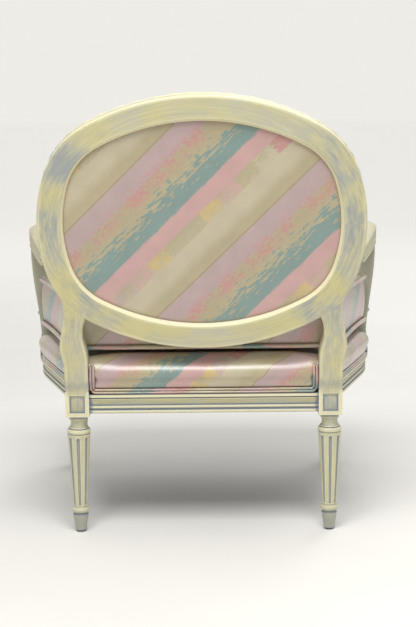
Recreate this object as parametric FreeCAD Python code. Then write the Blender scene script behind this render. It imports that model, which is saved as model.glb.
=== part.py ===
"""An oval-back chair with open arms, a tight sprung-edge deck and a loose seat cushion.

Millimetres. X runs across the chair, the front faces -Y, Z is up from the floor. The pieces are drawn from
the rear face of the rear leg blocks (Y = 0). At the end they all move together, so that the origin is the
middle of the chair's footprint on the floor. "left" is the sitter's left, which is +X.
"""
import FreeCAD, Part
import math
import os

Vector = FreeCAD.Vector

# Turned legs, from the floor up
GLIDE_HEIGHT = 3.0
GLIDE_DIAMETER = 17.0
FOOT_HEIGHT = 32.0
FOOT_BOTTOM_DIAMETER = 21.0
FOOT_TOP_DIAMETER = 30.0
QUIRK_HEIGHT = 3.5
QUIRK_DEPTH = 1.6
LOWER_RING_HEIGHT = 13.5
LOWER_RING_DIAMETER = 34.0
SHAFT_HEIGHT = 145.0
SHAFT_BOTTOM_DIAMETER = 28.0
SHAFT_TOP_DIAMETER = 44.0
UPPER_RING_HEIGHT = 10.0
UPPER_RING_DIAMETER = 46.0
BEAD_HEIGHT = 3.5
BEAD_DIAMETER = 38.0
NECK_HEIGHT = 15.5
NECK_DIAMETER = 30.4
NECK_END_DIAMETER = 34.0
COLLAR_HEIGHT = 7.5
COLLAR_DIAMETER = 37.0
FLUTE_COUNT = 8
FLUTE_BOTTOM_WIDTH = 4.6
FLUTE_TOP_WIDTH = 6.8
FLUTE_LIFT = 0.4
FLUTE_BOTTOM_MARGIN = 5.0
FLUTE_TOP_MARGIN = 9.0

# Leg blocks and where the legs stand
BLOCK_WIDTH = 45.5
BLOCK_HEIGHT = 50.5
BLOCK_PANEL_MARGIN = 8.0
BLOCK_PANEL_DEPTH = 3.0
BLOCK_PANEL_DOME = 2.0
SEAT_REAR_HALF_WIDTH = 260.5
REAR_LEG_INSET = 17.5
FRONT_LEG_OUTSET = 23.5
REAR_LEG_SPACING = 2 * (SEAT_REAR_HALF_WIDTH - REAR_LEG_INSET)
FRONT_LEG_SPACING = 2 * (SEAT_REAR_HALF_WIDTH + FRONT_LEG_OUTSET)
FRONT_LEG_SETBACK = 506.0

# Seat rails
RAIL_UNDERCUT = 5.5
RAIL_HEIGHT = 37.0
RAIL_THICKNESS = 34.0
RAIL_FILLET = 5.0
RAIL_GROOVE = 2.6
RAIL_GROOVE_DEPTH = 3.0
RAIL_COVE_HEIGHT = 14.0
RAIL_COVE_DEPTH = 6.0
RAIL_BEAD = 6.4
RAIL_BEAD_STAND = 3.2
RAIL_BOTTOM_STAND = 3.1
REAR_RAIL_RECESS = 3.0

# Seat plan, the outer top edge of the rails from the rear block to the middle of the front
FLARE_AT_BLOCK = 6.0
FLARE_AT_SIDE = 18.5
HOLLOW_RADIUS = 480.0
SIDE_RUN = 180.0
SIDE_RADIUS = 390.0
FRONT_CORNER_RADIUS = 78.0
FRONT_CORNER_TURN = 78.0

# Oval back, drawn flat and then leaned back
RECLINE = 10.0
BACK_THICKNESS = 32.0
OVAL_RISE = 328.0
OVAL_OVERHANG = 44.0
OVAL_HALF_WIDTH = SEAT_REAR_HALF_WIDTH + OVAL_OVERHANG
OVAL_HALF_HEIGHT = 241.5
OVAL_SIDE_RADIUS = 303.0
OVAL_TOP_RADIUS = 442.0
OVAL_CORNER_RADIUS = 166.0
RING_FACE = 42.0
RING_EDGE_ROUND = 4.0
RING_BEVEL = 6.0
RING_RECESS = 9.0
LEDGE_WIDTH = 12.0
LEDGE_THICKNESS = 8.0
RING_COVE_START = 10.0
RING_COVE_END = 27.0
RING_COVE_DEPTH = 3.0
CREST_SEAM_ANGLE = 28.5
BOTTOM_SEAM_INSET = 39.5
BOTTOM_SEAM_X = SEAT_REAR_HALF_WIDTH - BOTTOM_SEAM_INSET

# Stiles between the rear blocks and the oval
STILE_RUNOUT = 12.0
OVAL_FOOT = OVAL_RISE - OVAL_HALF_HEIGHT
SHOULDER_RUN = 42.5
SHOULDER_DROP = 4.5
SHOULDER_START = OVAL_FOOT - SHOULDER_RUN
SHOULDER_HEIGHT = OVAL_FOOT - SHOULDER_DROP
SHOULDER_SWELL = 6.5
NECK_CLIMB = 60.5
NECK_LEVEL = OVAL_FOOT + NECK_CLIMB
NECK_INSET = 3.6
STILE_JOIN_ANGLE = 32.5
HOLLOW_DROP = 24.5
HOLLOW_CLIMB = 20.5
HOLLOW_START = OVAL_FOOT - HOLLOW_DROP
HOLLOW_LEVEL = OVAL_FOOT + HOLLOW_CLIMB
HOLLOW_DEPTH = 8.0
HOLLOW_TOP_SLOPE = 1.6

# Arms and their posts
ARM_HEIGHT = 51.0
ARM_CLEARANCE = 236.0
ARM_FRONT_WIDTH = 44.0
ARM_REAR_WIDTH = 28.0
ARM_BAND_HEIGHT = 12.5
ARM_BAND_SINK = 2.2
ARM_GROOVE_HEIGHT = 2.4
ARM_GROOVE_DEPTH = 2.6
ARM_SIDE_HEIGHT = 41.0
ARM_REAR_LIFT = 10.0
ARM_REAR_INSET = 14.0
ARM_BOW = 2.0
ARM_STATIONS = 4
ARM_FRONT_Y = -402.0
POST_BASE_OUTSET = 70.5
POST_BASE_X = SEAT_REAR_HALF_WIDTH + POST_BASE_OUTSET
POST_SPLAY = 21.0
ARM_FRONT_X = POST_BASE_X + POST_SPLAY
POST_BASE_WIDTH = 30.0
POST_BASE_DEPTH = 48.0
POST_BASE_Y = -373.0
POST_TOP_WIDTH = 33.0
POST_TOP_DEPTH = 42.0
POST_WAIST_DEPTH = 35.0
POST_TOP_Y = -396.0
POST_WAIST_SHARE = 0.5
POST_SWELL = -1.0

# Upholstery: fabric, cords, sheets
FIT = 0.3
CLOTH = 1.0
DOUBLE_WELT_RADIUS = 2.7
FIRST_CORD = 0
SECOND_CORD = 1
CUSHION_WELT_RADIUS = 4.5
STRAP_WIDTH = 50.0
STRAP_THICKNESS = 1.1
SEAT_STRAP_LENGTHWISE = 5
SEAT_STRAP_PITCH = 84.0
SEAT_STRAP_CROSS_Y = (-110.0, -205.0, -300.0, -440.0)
BACK_STRAP_PITCH = 105.0
BACK_STRAPS = 3
HESSIAN_INSET = 14.0
DUST_COVER_INSET = 10.0

# Deck under the cushion
DECK_REAR_INSET = 6.0
DECK_CORNER = 20.0
DECK_HEIGHT = 72.0
DECK_NOTCH_GAP = 2.5
DECK_PAD_HEIGHT = 54.0
DECK_SWELL = 0.014
DECK_FOOT_HEIGHT = 12.0
DECK_FOOT_INSET = 0.02
DECK_WADDING = 10.0
DECK_SIDE_SHARE = 0.72
DECK_WELT_SHARE = 0.85

# Loose cushion
CUSHION_LIFT = 0.4
CUSHION_DROP = 11.0
CUSHION_BOXING = 91.0
CUSHION_CROWN = 21.0
CUSHION_REAR_Y = -38.0
CUSHION_INSET = 2.0
CUSHION_CORNER = 16.0
CUSHION_EAR_GAP = 5.0
CUSHION_FRONT_GAP = 13.0
CUSHION_POST_GAP = 10.0
CUSHION_NOTCH_ROUND = 12.0
CUSHION_WELT_FIT = 0.5
CUSHION_SWELL = 0.014
CUSHION_CORE_INSET = 14.0
CUSHION_CORE_MARGIN = 6.0
CUSHION_SEAM_RINGS = ((4.0, 0.38), (12.0, 0.66))
CUSHION_TOP_RINGS = ((0.86, 0.84), (0.66, 0.96), (0.4, 1.0))
CROWN_RINGS = (0.965, 0.9, 0.79, 0.62, 0.38)
CROWN_POWER = 3.0
SWELL_STEPS = 4

# Inside back
BACK_PAD_INSET = 26.0
BACK_PAD_PROUD = 6.0
BACK_CROWN = 36.0
OUTER_PANEL_BOARD = 2.8

# Hidden joinery
DOWEL_DIAMETER = 9.0
DOWEL_HALF_LENGTH = 16.0
DOWEL_FIT = 0.15
SEAT_DOWEL_PITCH = 15.0
CORNER_BLOCK_HEIGHT = 22.0
CORNER_BLOCK_REACH = 95.0

# Heights and places that follow from the sizes above
FOOT_Z = GLIDE_HEIGHT
QUIRK_Z = FOOT_Z + FOOT_HEIGHT
LOWER_RING_Z = QUIRK_Z + QUIRK_HEIGHT
SHAFT_Z = LOWER_RING_Z + LOWER_RING_HEIGHT
UPPER_RING_Z = SHAFT_Z + SHAFT_HEIGHT
BEAD_Z = UPPER_RING_Z + UPPER_RING_HEIGHT
NECK_Z = BEAD_Z + BEAD_HEIGHT
COLLAR_Z = NECK_Z + NECK_HEIGHT
BLOCK_BOTTOM = COLLAR_Z + COLLAR_HEIGHT
BLOCK_TOP = BLOCK_BOTTOM + BLOCK_HEIGHT
RAIL_BOTTOM = BLOCK_BOTTOM + RAIL_UNDERCUT
RAIL_TOP = RAIL_BOTTOM + RAIL_HEIGHT
REAR_LEG_X = REAR_LEG_SPACING / 2
REAR_LEG_Y = -BLOCK_WIDTH / 2
FRONT_LEG_X = FRONT_LEG_SPACING / 2
FRONT_LEG_Y = -FRONT_LEG_SETBACK
LEDGE_REAR = RING_RECESS + OUTER_PANEL_BOARD + CLOTH + FIT
LEDGE_FRONT = LEDGE_REAR + LEDGE_THICKNESS
ARM_BOTTOM = RAIL_TOP + ARM_CLEARANCE
STRAP_Z = RAIL_TOP
HESSIAN_Z = STRAP_Z + 2 * STRAP_THICKNESS + FIT
DECK_Z = HESSIAN_Z + CLOTH
DECK_TOP = DECK_Z + DECK_HEIGHT
CUSHION_Z = DECK_TOP + CUSHION_LIFT
BOTTOM_SEAM_Z = CUSHION_Z + CUSHION_DROP
TOP_SEAM_Z = BOTTOM_SEAM_Z + CUSHION_BOXING
PAD_NEAR = LEDGE_FRONT + 2 * STRAP_THICKNESS + FIT
FAR = 2000.0
UP = Vector(0, 0, 1)
ORIGIN = Vector(0, 0, 0)


class Outline:
    """A chain of lines, arcs and curves in one plane, drawn from point to point."""

    def __init__(self, to_space, start):
        self.to_space = to_space
        self.start = start
        self.here = start
        self.edges = []

    def line(self, u, v):
        ends = self.to_space(*self.here), self.to_space(u, v)
        self.edges.append(Part.LineSegment(*ends).toShape())
        self.here = (u, v)
        return self

    def arc(self, through, end):
        points = [self.to_space(*p) for p in (self.here, through, end)]
        self.edges.append(Part.Arc(*points).toShape())
        self.here = end
        return self

    def curve(self, points, first=None, last=None):
        """A smooth curve on from here through points, with its directions at the two ends where given."""
        spots = [self.to_space(*p) for p in [self.here] + points]
        base = self.to_space(0, 0)
        spline = Part.BSplineCurve()
        if first and last:
            ends = [self.to_space(*d) - base for d in (first, last)]
            spline.interpolate(spots, InitialTangent=ends[0], FinalTangent=ends[1])
        else:
            spline.interpolate(spots)
        self.edges.append(spline.toShape())
        self.here = points[-1]
        return self

    def wire(self):
        if self.to_space(*self.here).distanceToPoint(self.to_space(*self.start)) > FIT / 100:
            self.line(*self.start)
        return Part.Wire(self.edges)

    def face(self):
        return Part.Face(self.wire())


def in_plan(u, v):
    return Vector(u, v, 0)


def from_front(u, v):
    return Vector(u, 0, v)


def from_side(u, v):
    return Vector(0, u, v)


def box(x, y, z):
    """A box between two values on each axis."""
    return Part.makeBox(x[1] - x[0], y[1] - y[0], z[1] - z[0], Vector(x[0], y[0], z[0]))


def mirrored(shape):
    return shape.mirror(ORIGIN, Vector(1, 0, 0))


def both(shape):
    """The shape with its mirror image, as one group."""
    return Part.makeCompound([shape, mirrored(shape)])


def joined(*shapes):
    return shapes[0].multiFuse(list(shapes[1:])).removeSplitter()


def moved(shape, x=0.0, y=0.0, z=0.0):
    return shape.translated(Vector(x, y, z))


def arc_edge(center, radius, start, end, z=0.0):
    """The part of a level circle between two angles in degrees, turning left."""
    circle = Part.Circle(Vector(center[0], center[1], z), UP, radius)
    return Part.ArcOfCircle(circle, math.radians(start), math.radians(end)).toShape()


def tube(path, radius):
    """A round cord along a wire."""
    edge = path.OrderedEdges[0]
    ahead = edge.Orientation == "Forward"
    at = edge.FirstParameter if ahead else edge.LastParameter
    ring = Part.Wire(Part.makeCircle(radius, edge.valueAt(at), edge.tangentAt(at)))
    return path.makePipe(Part.Face(ring))


def crown_rings(start, crown):
    """Rings of a crowned panel as shares of its outline with their heights, from the seam to near the middle.

    The crown rises as 1 minus a power of the share, so that it is steep at the seam and flat in the middle.
    """
    full = 1 - CROWN_RINGS[-1] ** CROWN_POWER
    return [(share, start + crown * (1 - share ** CROWN_POWER) / full) for share in (1.0,) + CROWN_RINGS]


def swell_rings(start, height, swell):
    """Rings of an upright side that swells outwards by a share half way up, without its top ring."""
    steps = [index / SWELL_STEPS for index in range(SWELL_STEPS)]
    return [(1 + swell * (1 - (2 * step - 1) ** 2), start + height * step) for step in steps]


def ruled_pillow(outline, rings):
    """A filled form through scaled copies of one level outline, each ring a share of it at a height."""
    middle = Vector(0, outline.BoundBox.Center.y, 0)
    wires = [outline.scaled(share, middle).translated(UP * z) for share, z in rings]
    return Part.makeLoft(wires, True, True)


def seam_to_crown(outline, seam_z, crown):
    """Rings of a sewn panel: drawn in evenly next to its seam, then scaled towards the middle of the crown."""
    drawn_in = [outline.makeOffset2D(-inset).translated(UP * (seam_z + crown * rise))
                for inset, rise in CUSHION_SEAM_RINGS]
    inner = outline.makeOffset2D(-CUSHION_SEAM_RINGS[-1][0])
    middle = Vector(0, outline.BoundBox.Center.y, 0)
    scaled = [inner.scaled(share, middle).translated(UP * (seam_z + crown * rise))
              for share, rise in CUSHION_TOP_RINGS]
    return drawn_in + scaled


def dowel(center, direction, fit=0.0):
    """A dowel through center along direction; with a fit, the hole that takes it."""
    unit = Vector(*direction).normalize()
    half = DOWEL_HALF_LENGTH + fit
    start = center - unit * half
    return Part.makeCylinder(DOWEL_DIAMETER / 2 + fit, 2 * half, start, unit)


# Turned legs


def turned_leg():
    """A leg on the Z axis: tapered foot, ring, fluted shaft that widens upwards, ring, bead, hollow neck, collar."""
    shaft_low = SHAFT_BOTTOM_DIAMETER / 2
    shaft_high = SHAFT_TOP_DIAMETER / 2
    profile = Outline(from_front, (0, FOOT_Z))
    profile.line(FOOT_BOTTOM_DIAMETER / 2, FOOT_Z)
    profile.line(FOOT_TOP_DIAMETER / 2, QUIRK_Z)
    profile.line(FOOT_TOP_DIAMETER / 2 - QUIRK_DEPTH, QUIRK_Z)
    profile.line(shaft_low - QUIRK_DEPTH, LOWER_RING_Z)
    profile.arc((LOWER_RING_DIAMETER / 2, (LOWER_RING_Z + SHAFT_Z) / 2), (shaft_low - QUIRK_DEPTH, SHAFT_Z))
    profile.line(shaft_low, SHAFT_Z)
    profile.line(shaft_high, UPPER_RING_Z)
    profile.line(shaft_high - QUIRK_DEPTH, UPPER_RING_Z)
    profile.arc((UPPER_RING_DIAMETER / 2, (UPPER_RING_Z + BEAD_Z) / 2), (shaft_high - QUIRK_DEPTH, BEAD_Z))
    profile.line(NECK_END_DIAMETER / 2, BEAD_Z)
    profile.arc((BEAD_DIAMETER / 2, (BEAD_Z + NECK_Z) / 2), (NECK_END_DIAMETER / 2, NECK_Z))
    profile.arc((NECK_DIAMETER / 2, (NECK_Z + COLLAR_Z) / 2), (NECK_END_DIAMETER / 2, COLLAR_Z))
    profile.line(COLLAR_DIAMETER / 2, COLLAR_Z)
    profile.line(COLLAR_DIAMETER / 2, BLOCK_BOTTOM)
    profile.line(0, BLOCK_BOTTOM)
    leg = profile.face().revolve(ORIGIN, UP, 360)
    turns = range(FLUTE_COUNT)
    cutters = [flute().rotated(ORIGIN, UP, 90 + turn * 360 / FLUTE_COUNT) for turn in turns]
    return leg.cut(cutters)


def flute():
    """The cutter of one flute: a slim cone that follows the shaft's taper, with a ball at each end."""
    low_z = SHAFT_Z + FLUTE_BOTTOM_MARGIN
    high_z = UPPER_RING_Z - FLUTE_TOP_MARGIN
    spread = (SHAFT_TOP_DIAMETER - SHAFT_BOTTOM_DIAMETER) / 2
    low_radius = SHAFT_BOTTOM_DIAMETER / 2 + spread * (low_z - SHAFT_Z) / SHAFT_HEIGHT
    high_radius = SHAFT_BOTTOM_DIAMETER / 2 + spread * (high_z - SHAFT_Z) / SHAFT_HEIGHT
    low = Vector(low_radius + FLUTE_LIFT, 0, low_z)
    high = Vector(high_radius + FLUTE_LIFT, 0, high_z)
    along = high - low
    shank = Part.makeCone(FLUTE_BOTTOM_WIDTH / 2, FLUTE_TOP_WIDTH / 2, along.Length, low, along)
    ends = Part.makeSphere(FLUTE_BOTTOM_WIDTH / 2, low), Part.makeSphere(FLUTE_TOP_WIDTH / 2, high)
    return shank.multiFuse(list(ends))


def leg_block(height, faces):
    """The square block over a leg, with a sunk panel and a low dome in each of the named faces."""
    half = BLOCK_WIDTH / 2
    block = box((-half, half), (-half, half), (BLOCK_BOTTOM, BLOCK_BOTTOM + height))
    field = half - BLOCK_PANEL_MARGIN
    floor = half - BLOCK_PANEL_DEPTH
    low = BLOCK_BOTTOM + BLOCK_PANEL_MARGIN
    high = BLOCK_BOTTOM + height - BLOCK_PANEL_MARGIN
    ball = (field ** 2 + BLOCK_PANEL_DOME ** 2) / (2 * BLOCK_PANEL_DOME)
    recess = box((floor, half + FIT), (-field, field), (low, high))
    dome = Part.makeSphere(ball, Vector(floor + BLOCK_PANEL_DOME - ball, 0, (low + high) / 2))
    recess = recess.cut(dome)
    turns = {"outer": 0, "rear": 90, "front": -90}
    return block.cut([recess.rotated(ORIGIN, UP, turns[face]) for face in faces])


def foot_glides():
    """Four flat glides with a rounded rim, one under each foot."""
    half = GLIDE_DIAMETER / 2
    profile = Outline(from_front, (0, 0))
    profile.line(half - GLIDE_HEIGHT / 2, 0)
    bow = GLIDE_HEIGHT / 2 * math.sqrt(0.5)
    profile.arc((half - GLIDE_HEIGHT / 2 + bow, GLIDE_HEIGHT / 2 - bow), (half, GLIDE_HEIGHT / 2))
    profile.line(half, GLIDE_HEIGHT)
    profile.line(0, GLIDE_HEIGHT)
    glide = profile.face().revolve(ORIGIN, UP, 360)
    spots = (REAR_LEG_X, REAR_LEG_Y), (FRONT_LEG_X, FRONT_LEG_Y)
    return Part.makeCompound([moved(glide, side * x, y) for x, y in spots for side in (1, -1)])


# Seat plan and rails


def heading_normal(flare):
    """The outward direction beside the rail line where it flares by that angle from straight ahead."""
    return math.cos(math.radians(flare)), math.sin(math.radians(flare))


def seat_plan():
    """Centres of the rail line's four arcs and the radius of the front bow, on the left side."""
    start = SEAT_REAR_HALF_WIDTH, -BLOCK_WIDTH
    n0, n1, n2 = (heading_normal(a) for a in (FLARE_AT_BLOCK, FLARE_AT_SIDE, -FRONT_CORNER_TURN))
    hollow = start[0] + HOLLOW_RADIUS * n0[0], start[1] + HOLLOW_RADIUS * n0[1]
    first = hollow[0] - HOLLOW_RADIUS * n1[0], hollow[1] - HOLLOW_RADIUS * n1[1]
    second = first[0] + SIDE_RUN * n1[1], first[1] - SIDE_RUN * n1[0]
    side = second[0] - SIDE_RADIUS * n1[0], second[1] - SIDE_RADIUS * n1[1]
    corner = side[0] + SIDE_RADIUS - FRONT_CORNER_RADIUS, side[1]
    last = corner[0] + FRONT_CORNER_RADIUS * n2[0], corner[1] + FRONT_CORNER_RADIUS * n2[1]
    bow_radius = last[0] / n2[0]
    bow = 0.0, last[1] - bow_radius * n2[1]
    return hollow, side, corner, bow, bow_radius


HOLLOW_CENTER, SIDE_CENTER, CORNER_CENTER, BOW_CENTER, BOW_RADIUS = seat_plan()


def seat_side(out=0.0, z=0.0):
    """Edges of the left rail line from the rear block to the front corner's end, moved outwards by out."""
    n1 = heading_normal(FLARE_AT_SIDE)
    hollow = arc_edge(HOLLOW_CENTER, HOLLOW_RADIUS - out, 180 + FLARE_AT_BLOCK, 180 + FLARE_AT_SIDE, z)
    side = arc_edge(SIDE_CENTER, SIDE_RADIUS + out, 0, FLARE_AT_SIDE, z)
    corner = arc_edge(CORNER_CENTER, FRONT_CORNER_RADIUS + out, -FRONT_CORNER_TURN, 0, z)
    inner = HOLLOW_RADIUS - out
    first = Vector(HOLLOW_CENTER[0] - inner * n1[0], HOLLOW_CENTER[1] - inner * n1[1], z)
    outer = SIDE_RADIUS + out
    second = Vector(SIDE_CENTER[0] + outer * n1[0], SIDE_CENTER[1] + outer * n1[1], z)
    return [hollow, Part.LineSegment(first, second).toShape(), side, corner]


def seat_front(out=0.0, z=0.0):
    """The bowed front of the rail line, from the left corner to the right one."""
    return arc_edge(BOW_CENTER, BOW_RADIUS + out, 180 + FRONT_CORNER_TURN, 360 - FRONT_CORNER_TURN, z)


def rail_half_width(y, out=0.0):
    """Half the seat's width at a depth between the rear blocks and the front corners."""
    n1 = heading_normal(FLARE_AT_SIDE)
    inner = HOLLOW_RADIUS - out
    outer = SIDE_RADIUS + out
    if y > HOLLOW_CENTER[1] - inner * n1[1]:
        return HOLLOW_CENTER[0] - math.sqrt(inner ** 2 - (HOLLOW_CENTER[1] - y) ** 2)
    straight_end = SIDE_CENTER[1] + outer * n1[1]
    if y > straight_end:
        return SIDE_CENTER[0] + outer * n1[0] - (y - straight_end) * n1[1] / n1[0]
    return SIDE_CENTER[0] + math.sqrt(outer ** 2 - (y - SIDE_CENTER[1]) ** 2)


def seat_outline(out, rear_y, corner):
    """The whole seat's closed outline, with its straight rear edge at rear_y and rounded rear corners."""
    slope = math.tan(math.radians(FLARE_AT_BLOCK))
    n0 = heading_normal(FLARE_AT_BLOCK)
    start = Vector(SEAT_REAR_HALF_WIDTH + out * n0[0], -BLOCK_WIDTH + out * n0[1], 0)
    rear = Vector(start.x - (rear_y - start.y) * slope, rear_y, 0)
    turn = Part.LineSegment(rear, start).toShape()
    back = Part.LineSegment(Vector(-rear.x, rear_y, 0), rear).toShape()
    left = [turn] + seat_side(out)
    edges = [back, seat_front(out)] + left + [mirrored(edge) for edge in left]
    wire = Part.Wire(Part.__sortEdges__(edges))
    return wire.makeOffset2D(-corner).makeOffset2D(corner)


def rail_section():
    """The rail's upright section, outwards and up: fillet, groove, wide hollow, bead, groove, bead."""
    fillet_z = RAIL_TOP - RAIL_FILLET
    cove_z = fillet_z - RAIL_GROOVE
    bead_z = cove_z - RAIL_COVE_HEIGHT
    quirk_z = bead_z - RAIL_BEAD
    low_z = quirk_z - RAIL_GROOVE
    deep = -RAIL_COVE_DEPTH - RAIL_GROOVE_DEPTH / 2
    section = Outline(from_front, (-RAIL_THICKNESS, RAIL_TOP))
    section.line(0, RAIL_TOP)
    section.line(0, fillet_z)
    section.line(-RAIL_GROOVE_DEPTH, fillet_z)
    section.line(-RAIL_GROOVE_DEPTH, cove_z)
    section.line(-RAIL_GROOVE_DEPTH / 2, cove_z)
    third = RAIL_COVE_HEIGHT / 3
    section.arc((-RAIL_COVE_DEPTH, cove_z - 2 * third), (deep, bead_z))
    section.arc((deep + RAIL_BEAD_STAND, (bead_z + quirk_z) / 2), (deep, quirk_z))
    section.line(deep, low_z)
    section.arc((deep + RAIL_BOTTOM_STAND, (low_z + RAIL_BOTTOM) / 2), (deep, RAIL_BOTTOM))
    section.line(-RAIL_THICKNESS, RAIL_BOTTOM)
    return section.face()


def rear_seat_rail():
    """The straight rail between the rear blocks, its moulding to the rear."""
    inner = REAR_LEG_X - BLOCK_WIDTH / 2
    section = rail_section().rotated(ORIGIN, UP, 90)
    rail = moved(section, -inner, -REAR_RAIL_RECESS).extrude(Vector(2 * inner, 0, 0))
    return rail.cut(seat_dowels(DOWEL_FIT))


def rail_run(section):
    """The left side rail's full run, from inside the rear block to inside the front block."""
    n0 = heading_normal(FLARE_AT_BLOCK)
    start = Vector(SEAT_REAR_HALF_WIDTH, -BLOCK_WIDTH, 0)
    lead = start + Vector(-n0[1], n0[0], 0) * (BLOCK_WIDTH / 2)
    ahead = Part.LineSegment(lead, start).toShape()
    path = Part.Wire(Part.__sortEdges__([ahead] + seat_side()))
    face = section.rotated(ORIGIN, UP, FLARE_AT_BLOCK).translated(lead)
    return path.makePipe(face)


def block_space(x, y):
    """The room that a leg block fills, as high as the whole chair."""
    half = BLOCK_WIDTH / 2
    return box((x - half, x + half), (y - half, y + half), (0, FAR))


def side_seat_rail():
    """The left side rail, hollow and then bowed in plan, fitted between its two leg blocks."""
    rail = rail_run(rail_section())
    spaces = [block_space(REAR_LEG_X, REAR_LEG_Y), block_space(FRONT_LEG_X, FRONT_LEG_Y)]
    rail = rail.cut(spaces)
    middle = max(rail.Solids, key=lambda solid: solid.Volume)
    return middle.cut(seat_dowels(DOWEL_FIT)).cut(arm_dowels(DOWEL_FIT))


def front_rail_run(section):
    """The bowed front rail's full run between the middles of the two front blocks."""
    path = Part.Wire([seat_front()])
    edge = path.Edges[0]
    start = edge.valueAt(edge.FirstParameter)
    face = section.rotated(ORIGIN, UP, 180 + FRONT_CORNER_TURN).translated(start)
    return path.makePipe(face)


def front_seat_rail():
    """The bowed front rail, sawn off square at the inner faces of the front blocks."""
    inner = FRONT_LEG_X - BLOCK_WIDTH / 2
    rail = front_rail_run(rail_section()).common(box((-inner, inner), (-FAR, FAR), (0, FAR)))
    return rail.cut(seat_dowels(DOWEL_FIT))


def seat_dowels(fit=0.0):
    """Two dowels in each of the eight joints between a seat rail and a leg block."""
    inner = REAR_LEG_X - BLOCK_WIDTH / 2
    middle = RAIL_THICKNESS / 2
    front_y = BOW_CENTER[1] - BOW_RADIUS + middle
    front_inner = FRONT_LEG_X - BLOCK_WIDTH / 2
    front_outer = FRONT_LEG_X + BLOCK_WIDTH / 2
    bow_drop = BOW_RADIUS - math.sqrt(BOW_RADIUS ** 2 - front_inner ** 2)
    turn_in = front_outer - CORNER_CENTER[0]
    corner_y = CORNER_CENTER[1] - math.sqrt((FRONT_CORNER_RADIUS - middle) ** 2 - turn_in ** 2)
    spots = [
        (inner, -REAR_RAIL_RECESS - middle, (1, 0, 0)),
        (SEAT_REAR_HALF_WIDTH - middle, -BLOCK_WIDTH, (0, 1, 0)),
        (front_inner, front_y + bow_drop, (1, 0, 0)),
        (front_outer, corner_y, (1, 0, 0)),
    ]
    level = (RAIL_BOTTOM + RAIL_TOP) / 2
    steps = (level - SEAT_DOWEL_PITCH / 2, level + SEAT_DOWEL_PITCH / 2)
    left = [dowel(Vector(x, y, z), way, fit) for x, y, way in spots for z in steps]
    return Part.makeCompound(left + [mirrored(pin) for pin in left])


def corner_blocks():
    """Four glue blocks across the inner corners of the seat frame, fitted to the rails and leg blocks."""
    level = (RAIL_BOTTOM + RAIL_TOP - CORNER_BLOCK_HEIGHT) / 2
    inside = Part.Face(seat_outline(-RAIL_THICKNESS - FIT, -REAR_RAIL_RECESS - RAIL_THICKNESS - FIT, FIT))
    inside = moved(inside, z=level).extrude(UP * CORNER_BLOCK_HEIGHT)
    blocks = []
    for x, y, ahead in ((REAR_LEG_X, REAR_LEG_Y, -1), (FRONT_LEG_X, FRONT_LEG_Y, 1)):
        reach = CORNER_BLOCK_REACH
        wedge = Outline(in_plan, (x + reach, y + ahead * reach))
        wedge.line(x - reach, y + ahead * FIT)
        wedge.line(x - reach, y - ahead * reach)
        wedge.line(x + reach, y - ahead * reach)
        piece = moved(wedge.face(), z=level).extrude(UP * CORNER_BLOCK_HEIGHT)
        half = BLOCK_WIDTH / 2 + FIT
        room = box((x - half, x + half), (y - half, y + half), (0, FAR))
        piece = piece.common(inside).cut(room)
        blocks.append(max(piece.Solids, key=lambda solid: solid.Volume))
    return both(Part.makeCompound(blocks))


# Oval back


def oval_arcs():
    """Centres of the side, corner and top arcs of one quarter, and the two angles where they meet."""
    side = OVAL_HALF_WIDTH - OVAL_SIDE_RADIUS, 0.0
    top = 0.0, OVAL_HALF_HEIGHT - OVAL_TOP_RADIUS
    reach_side = OVAL_SIDE_RADIUS - OVAL_CORNER_RADIUS
    reach_top = OVAL_TOP_RADIUS - OVAL_CORNER_RADIUS
    gap = math.dist(side, top)
    along = (reach_side ** 2 - reach_top ** 2 + gap ** 2) / (2 * gap)
    across = math.sqrt(reach_side ** 2 - along ** 2)
    step = (top[0] - side[0]) / gap, (top[1] - side[1]) / gap
    corner = side[0] + along * step[0] - across * step[1], side[1] + along * step[1] + across * step[0]
    low = math.degrees(math.atan2(corner[1] - side[1], corner[0] - side[0]))
    high = math.degrees(math.atan2(corner[1] - top[1], corner[0] - top[0]))
    return side, corner, top, low, high


OVAL_SIDE, OVAL_CORNER, OVAL_TOP, OVAL_LOW_ANGLE, OVAL_HIGH_ANGLE = oval_arcs()


def oval_wire(inset, depth=0.0, share=1.0):
    """The oval moved in by inset, at a depth in front of the rear face, drawn flat about its own centre."""
    low, high = OVAL_LOW_ANGLE, OVAL_HIGH_ANGLE
    (sx, _), (cx, cy), (_, ty) = OVAL_SIDE, OVAL_CORNER, OVAL_TOP
    side, corner, top = (r - inset for r in (OVAL_SIDE_RADIUS, OVAL_CORNER_RADIUS, OVAL_TOP_RADIUS))
    edges = [
        arc_edge((sx, 0), side, -low, low),
        arc_edge((cx, cy), corner, low, high),
        arc_edge((0, ty), top, high, 180 - high),
        arc_edge((-cx, cy), corner, 180 - high, 180 - low),
        arc_edge((-sx, 0), side, 180 - low, 180 + low),
        arc_edge((-cx, -cy), corner, 180 + low, 180 + high),
        arc_edge((0, -ty), top, 180 + high, 360 - high),
        arc_edge((cx, -cy), corner, -high, -low),
    ]
    wire = Part.Wire(edges).scaled(share, ORIGIN)
    return wire.translated(Vector(0, OVAL_RISE, depth))


def oval_plate(inset, near, far):
    """A flat oval plate between two depths in front of the rear face."""
    return Part.Face(oval_wire(inset, near)).extrude(UP * (far - near))


def leaned(shape):
    """Stands a flat-drawn back piece on the block tops and leans it back."""
    return shape.rotated(ORIGIN, Vector(1, 0, 0), 90 - RECLINE).translated(Vector(0, 0, BLOCK_TOP))


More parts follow.
